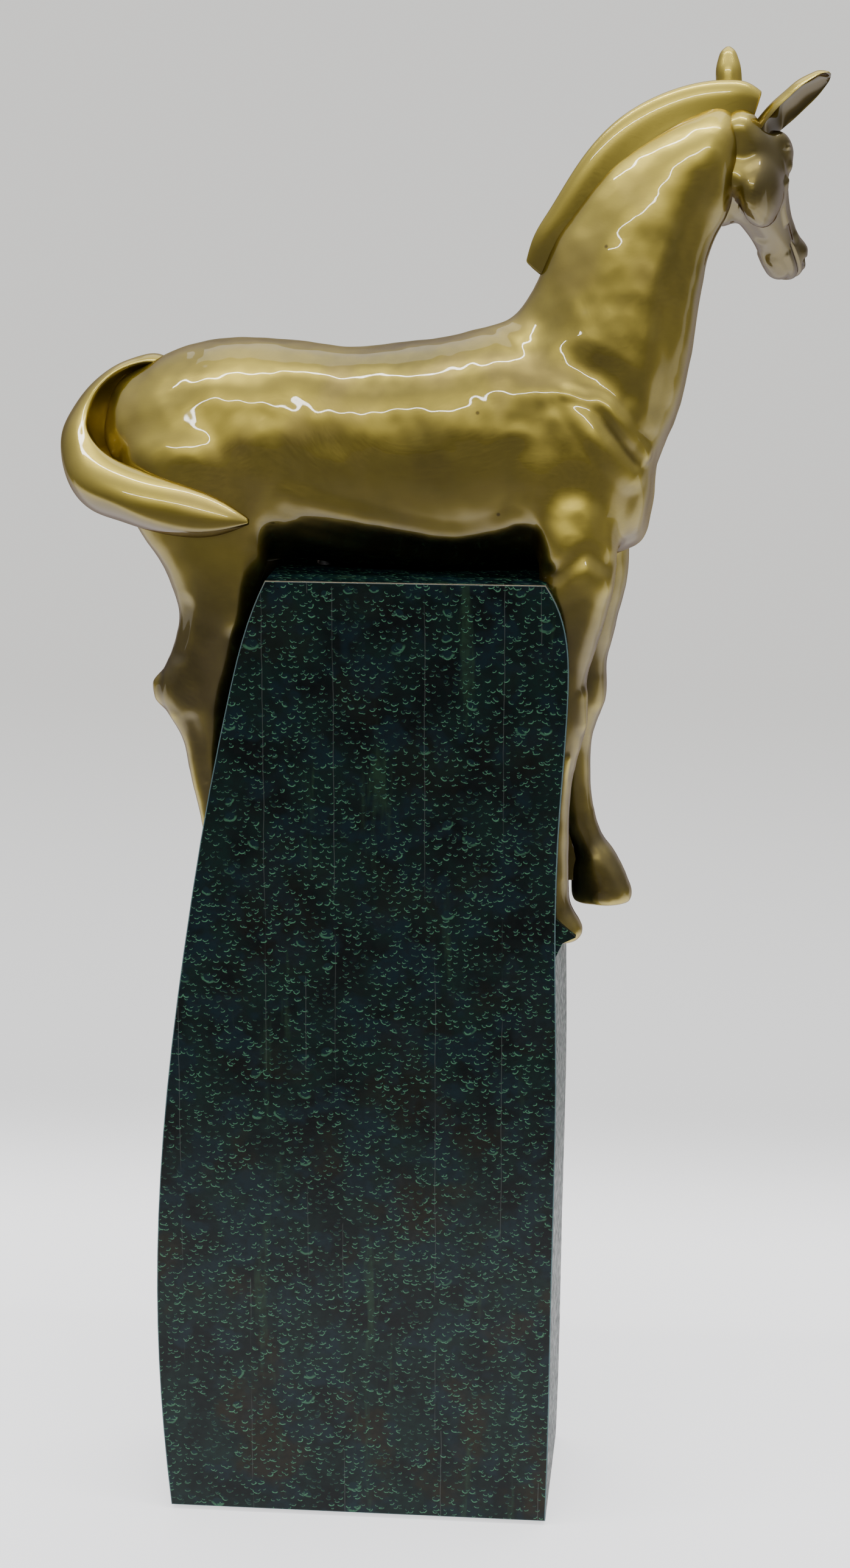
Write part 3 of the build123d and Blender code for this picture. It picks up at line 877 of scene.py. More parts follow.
@dataclass(frozen=True)
class Mane:
    """The cropped mane: a thick ridge with square shoulders, let into the top of the neck."""

    square: float = 3.6
    rows: tuple[tuple[Any, ...], ...] = (
        ((73, 137), (80, 131), 0.0, 1.8, 1.0),
        ((76, 147.5), (88, 138), 0.3, 4.4, 2.0),
        ((82.5, 159), (99, 149), 0.6, 6.0, 2.8),
        ((95.5, 180), (113, 168), 1.2, 6.8, 3.2),
        ((113, 199.5), (127, 183), 2.4, 7.0, 3.5),
        ((131, 210), (139, 192), 4.0, 7.0, 3.7),
        ((148, 215.2), (151, 196), 6.0, 7.0, 3.9),
        ((163, 216.4), (163, 197), 8.4, 6.8, 3.9),
        ((170, 215.0), (168.5, 198), 9.8, 6.0, 3.6),
        ((176, 211.0), (172.5, 200), 11.0, 5.0, 3.0),
    )

    def mesh(self) -> bpy.types.Mesh:
        """The finished mane in millimetres."""
        rings = []
        for ridge, root, shift, thick, narrow in self.rows:
            half, pinch = (thick + narrow) / 2, (thick - narrow) / (thick + narrow)
            rings.append(between(ridge, root, shift, half, self.square, pinch))
        bm = bmesh.new()
        add_loft(bm, rings, 8, 56)
        return worked("mane", bm, 0, 20)


@dataclass(frozen=True)
class Tail:
    """The tail: a thick band bent round the rump, with a keen rim, drawn by four long edges.

    Each station gives the rim, the ridge between its outer face and the bevel below, the bevel's
    lower edge, and the inner lip that lies against the rump.
    """

    stations: tuple[tuple[Point, Point, Point, Point], ...] = (
        ((-84, -5, 88), (-85, 2, 90), (-85, 4, 80), (-85, -2, 80)),
        ((-95, -7, 92), (-95, 2, 95), (-95, 5, 86), (-95, -3, 84)),
        ((-103, -7, 91), (-104, 3, 93), (-104, 8, 86), (-102, -1, 82)),
        ((-112, -12, 87), (-114, -2, 89), (-115, 6, 81), (-107, -3, 76)),
        ((-119, -17, 80), (-125, -6, 80), (-125, 4, 72), (-111, -7, 70)),
        ((-122, -22, 72), (-132, -12, 70), (-131, -3, 61), (-112, -10, 64)),
        ((-122, -27, 66), (-135, -20, 61), (-133, -10, 50), (-113, -13, 58)),
        ((-118, -32, 60), (-132, -32, 50), (-130, -22, 39), (-112, -19, 52)),
        ((-110, -37, 54), (-124, -43, 41), (-121, -32, 29), (-106, -25, 48)),
        ((-97, -41, 49), (-108, -50, 35), (-107, -36, 24), (-97, -31, 45)),
        ((-81, -45, 44), (-91, -53, 28), (-91, -39, 20), (-82, -34, 42)),
        ((-66, -46, 39), (-72, -52, 23), (-71, -40, 17.5), (-66, -36, 37)),
        ((-54, -46, 33), (-56, -50, 23.4), (-57, -40, 20), (-54, -38, 32)),
        ((-46, -45, 27), (-45.4, -45.6, 25.6), (-46, -41, 24.6), (-46, -41, 26)),
    )
    bulges: tuple[float, ...] = (0.16, 0.1, -0.05, -0.12)
    side_steps: int = 12

    def mesh(self) -> bpy.types.Mesh:
        """The finished tail in millimetres."""
        rows = [[number for point in station for number in point] for station in self.stations]
        bm = bmesh.new()
        around = self.side_steps * len(self.bulges)
        add_sections(bm, around, map(self.section, smooth_rows(rows, 7)))
        return worked("tail", bm, 2, 24)

    def section(self, row: np.ndarray) -> Section:
        """The section through four points that are given as one row of numbers."""
        corners = [Vector(row[i:i + 3]) for i in range(0, len(row), 3)]
        middle = sum(corners, Vector()) / len(corners)

        def section(number: int, _: Vector) -> Vector:
            side, step = divmod(number, self.side_steps)
            start, end = corners[side], corners[(side + 1) % len(corners)]
            share = step / self.side_steps
            away = (start + end) / 2 - middle
            swell = self.bulges[side] * (end - start).length * 4 * share * (1 - share)
            return start.lerp(end, share) + away.normalized() * swell

        return section


# ---- plinth -----------------------------------------------------------------------------------
@dataclass(frozen=True)
class PlinthPlate:
    """A large plate of the plinth with the corners of its outer face eased; lengths in metres."""

    node: str
    outward: int
    ease: float = 0.0013
    ease_steps: int = 3
    sharp: float = 0.5
    nearly_flat: float = radians(0.3)
    smooth_up_to: float = radians(25)
    touching: float = 1e-5

    def mesh(self) -> bpy.types.Mesh:
        """The plate's mesh, with its eased corners marked as proud."""
        bm = opened(bpy.data.objects[self.node].data)
        bmesh.ops.remove_doubles(bm, verts=bm.verts, dist=self.touching)
        bmesh.ops.dissolve_limit(bm, angle_limit=self.nearly_flat, verts=bm.verts, edges=bm.edges)
        face = max(vert.co.y * self.outward for vert in bm.verts)
        rim = [
            edge for edge in bm.edges
            if edge.is_manifold and edge.calc_face_angle() > self.sharp
            and all(abs(vert.co.y * self.outward - face) < self.touching for vert in edge.verts)
        ]
        made = bmesh.ops.bevel(bm, geom=rim, offset=self.ease, offset_type="OFFSET",
                               segments=self.ease_steps, profile=0.5, affect="EDGES", material=-1,
                               clamp_overlap=True)
        bm.faces.index_update()
        eased = {bevelled.index for bevelled in made["faces"]}
        mesh = from_bmesh(self.node.replace("plate", "skin"), bm)
        layer = mesh.attributes.new("hollow", "FLOAT", "FACE")
        for number, entry in enumerate(layer.data):
            entry.value = -1.0 if number in eased else 0.0
        mesh.shade_smooth()
        mesh.set_sharp_from_angle(angle=self.smooth_up_to)
        return mesh


# ---- finishes ---------------------------------------------------------------------------------
class Graph:
    """A node tree with a short way to add nodes and join them."""

    def __init__(self, tree: bpy.types.NodeTree) -> None:
        """Takes the tree to work on."""
        self.tree = tree

    def add(self, kind: str, inputs: dict[str | int, Any] | None = None,
            **settings: Any) -> bpy.types.Node:
        """Adds one node.

        Args:
            kind: the node's type without its ShaderNode prefix.
            inputs: values or sockets for its inputs.
            settings: the node's properties.

        Returns:
            The node.
        """
        node = self.tree.nodes.new("ShaderNode" + kind)
        for key, value in settings.items():
            setattr(node, key, value)
        self.fill(node, inputs or {})
        return node

    def fill(self, node: bpy.types.Node, values: dict[str | int, Any]) -> None:
        """Feeds several of a node's inputs, by name or number."""
        for key, value in values.items():
            self.feed(node.inputs[key], value)

    def feed(self, socket: Socket, value: Any) -> None:
        """Joins a socket to another, or sets its value."""
        if isinstance(value, Socket):
            self.tree.links.new(value, socket)
        elif isinstance(value, tuple) and socket.type == "RGBA":
            socket.default_value = (*value, 1.0)
        else:
            socket.default_value = value

    def math(self, operation: str, *values: Any) -> Socket:
        """One sum, given its operation and its terms."""
        return self.add("Math", dict(enumerate(values)), operation=operation).outputs[0]

    def times(self, first: Any, second: Any) -> Socket:
        """The product of two numbers or masks."""
        return self.math("MULTIPLY", first, second)

    def vector(self, operation: str, first: Any, second: Any) -> Socket:
        """One sum of two vectors, given its operation and its terms."""
        return self.add("VectorMath", {0: first, 1: second}, operation=operation).outputs[0]

    def axes(self, vector: Any) -> Any:
        """The X, Y and Z of a vector, by number."""
        return self.add("SeparateXYZ", {0: vector}).outputs

    def place(self) -> Socket:
        """Where a point lies, in the object's own coordinates."""
        return self.add("TexCoord").outputs["Object"]

    def facing_up(self) -> Socket:
        """How far a face looks up: 1 for level tops and -1 for undersides."""
        return self.axes(self.add("NewGeometry").outputs["Normal"])[2]

    def grazing(self) -> Socket:
        """How flatly a face is seen, for the gloss alone."""
        return self.add("LayerWeight", {"Blend": 0.5}).outputs["Facing"]

    def bump(self, height: Any, distance: float, strength: float) -> Socket:
        """A normal bent by a height."""
        inputs = {"Height": height, "Distance": distance, "Strength": strength}
        return self.add("Bump", inputs).outputs[0]

    def step(self, value: Any, low: float, high: float, start: float = 0.0,
             end: float = 1.0) -> Socket:
        """A smooth step from start to end as a value goes from low to high."""
        inputs = {"Value": value, "From Min": low, "From Max": high, "To Min": start, "To Max": end}
        return self.add("MapRange", inputs, interpolation_type="SMOOTHSTEP").outputs[0]

    def blend(self, share: Any, first: Any, second: Any) -> Socket:
        """A colour between two, by a share."""
        node = self.add("Mix", {"Factor": share}, data_type="RGBA")
        self.feed(node.inputs[6], first)
        self.feed(node.inputs[7], second)
        return node.outputs[2]

    def noise(self, vector: Any, scale: float, detail: float = 2.0, rough: float = 0.5) -> Socket:
        """A noise value."""
        inputs = {"Vector": vector, "Scale": scale, "Detail": detail, "Roughness": rough}
        return self.add("TexNoise", inputs).outputs[0]

    def drift(self, vector: Any, scale: float, detail: float) -> Socket:
        """A noise value for each axis."""
        inputs = {"Vector": vector, "Scale": scale, "Detail": detail}
        return self.add("TexNoise", inputs).outputs[1]

    def stretched(self, vector: Any, scale: Point) -> Socket:
        """Coordinates stretched along the axes."""
        return self.add("Mapping", {"Vector": vector, "Scale": scale}).outputs[0]


def shared_group(name: str, inputs: Sequence[tuple[str, float]], outputs: Sequence[str],
                 fill: Any) -> bpy.types.NodeTree:
    """Makes one node group that several finishes place with their own values.

    Args:
        name: the group's name.
        inputs: name and first value of each number it takes.
        outputs: names of the values it gives.
        fill: adds its nodes, given the graph and its inputs, and returns one socket per output.

    Returns:
        The group.
    """
    tree = bpy.data.node_groups.new(name, "ShaderNodeTree")
    for label, value in inputs:
        socket = tree.interface.new_socket(label, in_out="INPUT", socket_type="NodeSocketFloat")
        socket.default_value = value
    for label in outputs:
        tree.interface.new_socket(label, in_out="OUTPUT", socket_type="NodeSocketFloat")
    graph = Graph(tree)
    taken = tree.nodes.new("NodeGroupInput")
    given = tree.nodes.new("NodeGroupOutput")
    for socket, made in zip(given.inputs, fill(graph, taken.outputs)):
        tree.links.new(made, socket)
    return tree


def fill_tone(graph: Graph, given: Any) -> list[Socket]:
    """Broad and small clouds of darker and lighter metal."""
    where = graph.place()
    broad = graph.noise(where, given["Broad"], 2.0)
    small = graph.noise(where, given["Small"], 4.0)
    return [graph.step(broad, 0.3, 0.7), graph.step(small, 0.3, 0.7)]


def fill_grain(graph: Graph, given: Any) -> list[Socket]:
    """Fine rubbed lines that wander, and an even fine grain."""
    where = graph.place()
    bend = graph.drift(where, 9.0, 1.0)
    bent = graph.vector("MULTIPLY", bend, (0.12, 0.12, 0.12))
    moved = graph.vector("ADD", where, bent)
    lines = graph.noise(graph.stretched(moved, (260.0, 260.0, 1700.0)), 1.0, 3.0, 0.6)
    grain = graph.noise(where, given["Grain"], 2.0)
    return [lines, grain]


def fill_wear_and_reflection(graph: Graph, given: Any) -> list[Socket]:
    """Proud edges, rubbed by hands and carrying painted edge reflections, and hollows with dark
    wax.
    """
    depth = graph.add("Attribute", attribute_name="hollow").outputs["Fac"]
    where = graph.place()
    patches = graph.noise(where, 160.0, 3.0)
    uneven = graph.times(graph.math("SUBTRACT", patches, 0.5), given["Unevenness"])
    proud = graph.math("ADD", graph.times(depth, -1.0), uneven)
    sunk = graph.math("ADD", depth, uneven)
    return [graph.step(proud, 0.12, 0.85), graph.step(sunk, 0.05, 0.8)]


def fill_pits(graph: Graph, given: Any) -> list[Socket]:
    """Small scattered casting pits."""
    where = graph.place()
    cells = graph.add("TexVoronoi", {"Vector": where, "Scale": given["Scale"], "Randomness": 1.0})
    chosen = graph.add("SeparateColor", {0: cells.outputs["Color"]}).outputs[0]
    near = graph.step(cells.outputs["Distance"], 0.05, 0.13, 1.0, 0.0)
    return [graph.times(near, graph.math("LESS_THAN", chosen, given["Share"]))]


class Effects:
    """The node groups that the finishes share."""

    def __init__(self) -> None:
        """Makes the groups once."""
        self.tone = shared_group("tone", (("Broad", 22.0), ("Small", 140.0)), ("Broad", "Small"),
                                 fill_tone)
        self.grain = shared_group("grain", (("Grain", 1400.0),), ("Lines", "Grain"), fill_grain)
        self.wear = shared_group("wear", (("Unevenness", 0.5),), ("Proud", "Sunk"), fill_wear_and_reflection)
        self.pits = shared_group("pits", (("Scale", 120.0), ("Share", 0.12)), ("Pit",), fill_pits)

    @staticmethod
    def use(graph: Graph, group: bpy.types.NodeTree, **values: float) -> Any:
        """Places one group in a material and returns its outputs."""
        node = graph.tree.nodes.new("ShaderNodeGroup")
        node.node_tree = group
        for key, value in values.items():
            node.inputs[key].default_value = value
        return node.outputs


def new_material(name: str) -> tuple[bpy.types.Material, Graph, bpy.types.Node]:
    """An empty node material, its graph and its shader."""
    made = bpy.data.materials.new(name)
    made.use_nodes = True
    return made, Graph(made.node_tree), made.node_tree.nodes["Principled BSDF"]


@dataclass(frozen=True)
class GoldBronze:
    """Polished antique-gold bronze, dark wax in its hollows, under clear lacquer."""

    name: str = "gold_bronze"
    gold: Colour = (0.365, 0.282, 0.040)
    bright: Colour = (0.55, 0.430, 0.068)
    olive: Colour = (0.140, 0.110, 0.018)
    wax: Colour = (0.055, 0.036, 0.010)
    blush: Colour = (0.30, 0.19, 0.15)
    umber: Colour = (0.080, 0.060, 0.028)
    rim: Colour = (0.30, 0.24, 0.12)
    # painted shade: how far faces that look down are darkened towards umber
    under: Fade = (0.3, -0.7, 0.0, 0.9)
    down_legs: Fade = (0.485, 0.42, 0.0, 0.8)
    along_head: Fade = (0.158, 0.178, 0.0, 0.82)
    below_poll: Fade = (0.668, 0.645, 0.0, 1.0)
    # painted light: the metal turns brighter higher up the horse
    painted_light_up_neck: Fade = (0.54, 0.67, 0.0, 0.75)
    flush: Fade = (0.52, 0.68, 0.0, 0.10)
    rubbed: Fade = (0.35, 0.75, 0.0, 0.08)
    coat_fade: Fade = (0.5, 0.92, 1.0, 0.15)
    rough: tuple[float, float] = (0.32, 0.40)
    coat_rough: float = 0.03

    def umber_and_painted_shade(self, graph: Graph, where: Any) -> Any:
        """Umber share: on the head, down the legs, and painted shade on faces that look down."""
        place = graph.axes(where)
        # painted shade: faces that look down turn umber
        under = graph.step(graph.facing_up(), *self.under)
        legs = graph.step(place[2], *self.down_legs)
        head = graph.times(graph.step(place[0], *self.along_head),
                           graph.step(place[2], *self.below_poll))
        return graph.math("MAXIMUM", under, graph.math("MAXIMUM", legs, head))

    def material(self, effects: Effects) -> bpy.types.Material:
        """Builds the material."""
        made, graph, shader = new_material(self.name)
        tone = effects.use(graph, effects.tone, Broad=12.0, Small=110.0)
        lines = effects.use(graph, effects.grain, Grain=1500.0)
        wear = effects.use(graph, effects.wear, Unevenness=0.2)
        pit = effects.use(graph, effects.pits, Scale=110.0, Share=0.05)[0]
        where = graph.place()
        colour = graph.blend(tone["Broad"], self.olive, self.gold)
        colour = graph.blend(graph.times(tone["Small"], 0.12), colour, self.bright)
        flush = graph.step(graph.noise(where, 34.0, 1.0), *self.flush)
        colour = graph.blend(flush, colour, self.blush)
        # painted light: brighter towards the back, neck and mane, by height alone
        high = graph.step(graph.axes(where)[2], *self.painted_light_up_neck)
        colour = graph.blend(high, colour, self.bright)
        # umber on the head and down the legs, and painted shade on the undersides
        colour = graph.blend(self.umber_and_painted_shade(graph, where), colour, self.umber)
        colour = graph.blend(graph.times(wear["Sunk"], 0.85), colour, self.wax)
        colour = graph.blend(graph.times(wear["Proud"], 0.45), colour, self.bright)
        colour = graph.blend(graph.step(lines["Lines"], *self.rubbed), colour, self.olive)
        colour = graph.blend(graph.times(pit, 0.8), colour, self.wax)
        dull = graph.step(lines["Lines"], 0.25, 0.8, *self.rough)
        height = graph.math("SUBTRACT", graph.times(lines["Lines"], 0.35), pit)
        graph.fill(shader, {
            "Base Color": colour,
            "Metallic": 1.0,
            "Roughness": graph.math("ADD", dull, graph.times(wear["Sunk"], 0.08)),
            "Normal": graph.bump(height, 0.00003, 0.12),
            "Specular Tint": self.rim,
            "Coat Weight": graph.step(graph.grazing(), *self.coat_fade),
            "Coat Roughness": self.coat_rough,
            "Coat IOR": 1.5,
        })
        return made


@dataclass(frozen=True)
class GreenPatina:
    """Dark blue-green patina with small pale scales, runs and hairlines, under gloss lacquer.

    Each layer of scales has its spacing in metres, the share of places that hold one, an offset,
    the strength of its rims and the strength of the drops inside them.
    """

    name: str = "green_patina"
    black: Colour = (0.0020, 0.0036, 0.0040)
    green: Colour = (0.0040, 0.0130, 0.0115)
    blue: Colour = (0.0045, 0.0130, 0.0185)
    # painted highlight: the pale green laid on the lower rim of each raised scale
    scale: Colour = (0.058, 0.170, 0.095)
    drop: Colour = (0.0045, 0.0155, 0.020)
    run: Colour = (0.014, 0.034, 0.019)
    brown: Colour = (0.014, 0.010, 0.0035)
    hairline: Colour = (0.085, 0.095, 0.09)
    worn_edge: Colour = (0.22, 0.18, 0.12)
    # painted reflection of the bright room along the plinth's side edges
    painted_reflection_edge: Colour = (0.10, 0.16, 0.17)
    coat: float = 0.22
    tilt: float = 1.3
    shine: float = 0.06
    rust_height: Fade = (0.03, 0.3, 1.0, 0.25)
    streaks: Fade = (0.6, 0.7, 0.0, 0.75)
    hair: Fade = (0.002, 0.006, 0.4, 0.0)
    hair_cells: tuple[float, float] = (24.0, 4.2)
    layers: tuple[tuple[float, ...], ...] = (
        (0.011, 0.12, 3.1, 0.6, 0.75),
        (0.0046, 0.7, 1.7, 1.0, 0.45),
        (0.0034, 0.8, 5.3, 1.0, 0.45),
    )

    def scales(self, graph: Graph, flat: Any, size: float, share: float,
               offset: float) -> dict[str, Any]:
        """Upturned crescents scattered over the faces, and the drops that they rim.

        Args:
            graph: the material's graph.
            flat: coordinates that run along each face, in metres.
            size: distance between neighbours, in metres.
            share: share of the places that hold one.
            offset: moves the layer so that two layers differ.

        Returns:
            The masks "rim" and "drop".
        """
        moved = graph.vector("ADD", flat, (offset, offset, 0.0))
        spread = graph.add("VectorMath", {0: moved, "Scale": 1 / size}, operation="SCALE")
        spread = spread.outputs[0]
        cells = graph.add("TexVoronoi", {"Vector": spread, "Scale": 1.0, "Randomness": 1.0},
                          voronoi_dimensions="2D")
        apart = graph.vector("SUBTRACT", spread, cells.outputs["Position"])
        random = graph.add("SeparateColor", {0: cells.outputs["Color"]})
        reach = graph.math("MULTIPLY_ADD", random.outputs[1], 0.2, 0.17)
        tilt = graph.times(graph.math("SUBTRACT", random.outputs[2], 0.5), self.tilt)
        turned = graph.add("VectorRotate", {"Vector": apart, "Angle": tilt}, rotation_type="Z_AXIS")
        axes = graph.axes(turned.outputs[0])
        wide = graph.math("DIVIDE", axes[0], reach)
        high = graph.math("DIVIDE", axes[1], graph.times(reach, 0.75))
        squares = graph.math("ADD", graph.times(wide, wide), graph.times(high, high))
        far = graph.math("SQRT", squares)
        ring = graph.math("ABSOLUTE", graph.math("SUBTRACT", far, 0.82))
        rim = graph.step(ring, 0.08, 0.26, 1.0, 0.0)
        # only the lower half of each rim is kept, where the painted highlight falls
        rim = graph.times(rim, graph.step(high, -0.5, 0.1, 1.0, 0.0))
        chosen = graph.math("LESS_THAN", random.outputs[0], share)
        inside = graph.step(far, 0.6, 0.9, 1.0, 0.0)
        return {"rim": graph.times(rim, chosen), "drop": graph.times(inside, chosen)}

    def material(self, effects: Effects) -> bpy.types.Material:
        """Builds the material."""
        made, graph, shader = new_material(self.name)
        where = graph.place()
        axes = graph.axes(where)
        along = graph.math("MULTIPLY_ADD", axes[1], 1.3, axes[0])
        height = graph.math("MULTIPLY_ADD", axes[1], 0.6, axes[2])
        flat = graph.add("CombineXYZ", {0: along, 1: height}).outputs[0]
        wander = graph.drift(where, 330.0, 3.0)
        shift = graph.vector("MULTIPLY", wander, (0.0013, 0.0013, 0.0))
        flat_bent = graph.vector("ADD", flat, shift)
        tone = effects.use(graph, effects.tone, Broad=48.0, Small=300.0)
        wear = effects.use(graph, effects.wear, Unevenness=0.3)
        pit = effects.use(graph, effects.pits, Scale=210.0, Share=0.2)[0]

        colour = graph.blend(tone["Broad"], self.black, self.green)
        clouds = graph.step(graph.noise(where, 70.0), 0.48, 0.62, 0.0, 0.8)
        colour = graph.blend(clouds, colour, self.blue)
        low = graph.step(axes[2], *self.rust_height)
        rust = graph.times(graph.step(graph.noise(where, 32.0, 4.0), 0.52, 0.64), low)
        colour = graph.blend(graph.times(rust, 0.75), colour, self.brown)
        streaks = graph.noise(graph.stretched(where, (75.0, 75.0, 9.0)), 1.0, 4.0, 0.6)
        colour = graph.blend(graph.step(streaks, *self.streaks), colour, self.run)
        colour = graph.blend(graph.step(tone["Small"], 0.2, 0.9, 0.0, 0.35), colour, self.black)
        masks = []
        for size, share, offset, strong, fill in self.layers:
            layer = self.scales(graph, flat_bent, size, share, offset)
            colour = graph.blend(graph.times(layer["drop"], fill), colour, self.drop)
            patchy = graph.step(graph.noise(where, 70.0 + 900 * size), 0.36, 0.52, 0.3, strong)
            mask = graph.times(layer["rim"], patchy)
            masks.append(mask)
            # painted highlight on the scales' lower rims; the same rims also raise the bump
            colour = graph.blend(mask, colour, self.scale)
        sway = graph.noise(graph.stretched(where, (30.0, 30.0, 42.0)), 1.0, 2.0)
        across = graph.math("MULTIPLY_ADD", sway, 0.0014, along)
        wide, high = (graph.times(*pair) for pair in zip((across, height), self.hair_cells))
        long_cells = graph.add("CombineXYZ", {0: wide, 1: high}).outputs[0]
        strands = graph.add("TexVoronoi", {"Vector": long_cells, "Scale": 1.0},
                            voronoi_dimensions="2D")
        off = graph.vector("SUBTRACT", long_cells, strands.outputs["Position"])
        aside = graph.math("ABSOLUTE", graph.axes(off)[0])
        hair = graph.step(aside, *self.hair)
        hair = graph.times(hair, graph.step(graph.noise(where, 14.0), 0.42, 0.56))
        colour = graph.blend(hair, colour, self.hairline)
        colour = graph.blend(graph.times(pit, 0.85), colour, self.black)
        # proud edges: worn gold where they face up, a painted reflection in pale blue-grey on the
        # side edges
        above = graph.step(graph.facing_up(), 0.2, 0.5)
        edge = graph.blend(above, self.painted_reflection_edge, self.worn_edge)
        colour = graph.blend(graph.times(wear["Proud"], 0.8), colour, edge)
        raised = graph.math("ADD", masks[1], graph.math("ADD", masks[0], masks[2]))
        raised = graph.math("ADD", raised, graph.times(tone["Small"], 0.5))
        raised = graph.math("SUBTRACT", raised, pit)
        graph.fill(shader, {
            "Base Color": colour,
            "Metallic": 0.0,
            "Roughness": graph.step(tone["Small"], 0.0, 1.0, 0.3, 0.5),
            "Normal": graph.bump(raised, 0.0004, 0.5),
            "Specular IOR Level": self.shine,
            "Coat Weight": graph.step(graph.grazing(), 0.45, 0.85, self.coat, 0.0),
            "Coat Roughness": 0.08,
        })
        return made


@dataclass(frozen=True)
class PlainFinish:
    """A finish for the plates and fasteners inside: one base colour, a second in its clouds."""

    name: str
    colour: Colour
    second: Colour
    metallic: float
    rough: tuple[float, float]
    grain: float = 900.0
    relief: float = 0.0002

    def material(self, effects: Effects) -> bpy.types.Material:
        """Builds the material."""
        made, graph, shader = new_material(self.name)
        tone = effects.use(graph, effects.tone, Broad=40.0, Small=220.0)
        lines = effects.use(graph, effects.grain, Grain=self.grain)
        colour = graph.blend(graph.times(tone["Broad"], tone["Small"]), self.colour, self.second)
        graph.fill(shader, {
            "Base Color": colour,
            "Metallic": self.metallic,
            "Roughness": graph.step(lines["Grain"], 0.3, 0.7, *self.rough),
            "Normal": graph.bump(lines["Grain"], self.relief, 0.4),
        })
        return made


# ---- studio -----------------------------------------------------------------------------------
@dataclass(frozen=True)
class Lamp:
    """One rectangular lamp."""

    name: str
    place: Point
    aim: Point
    size: tuple[float, float]
    power: float
    colour: Colour = (1.0, 1.0, 1.0)


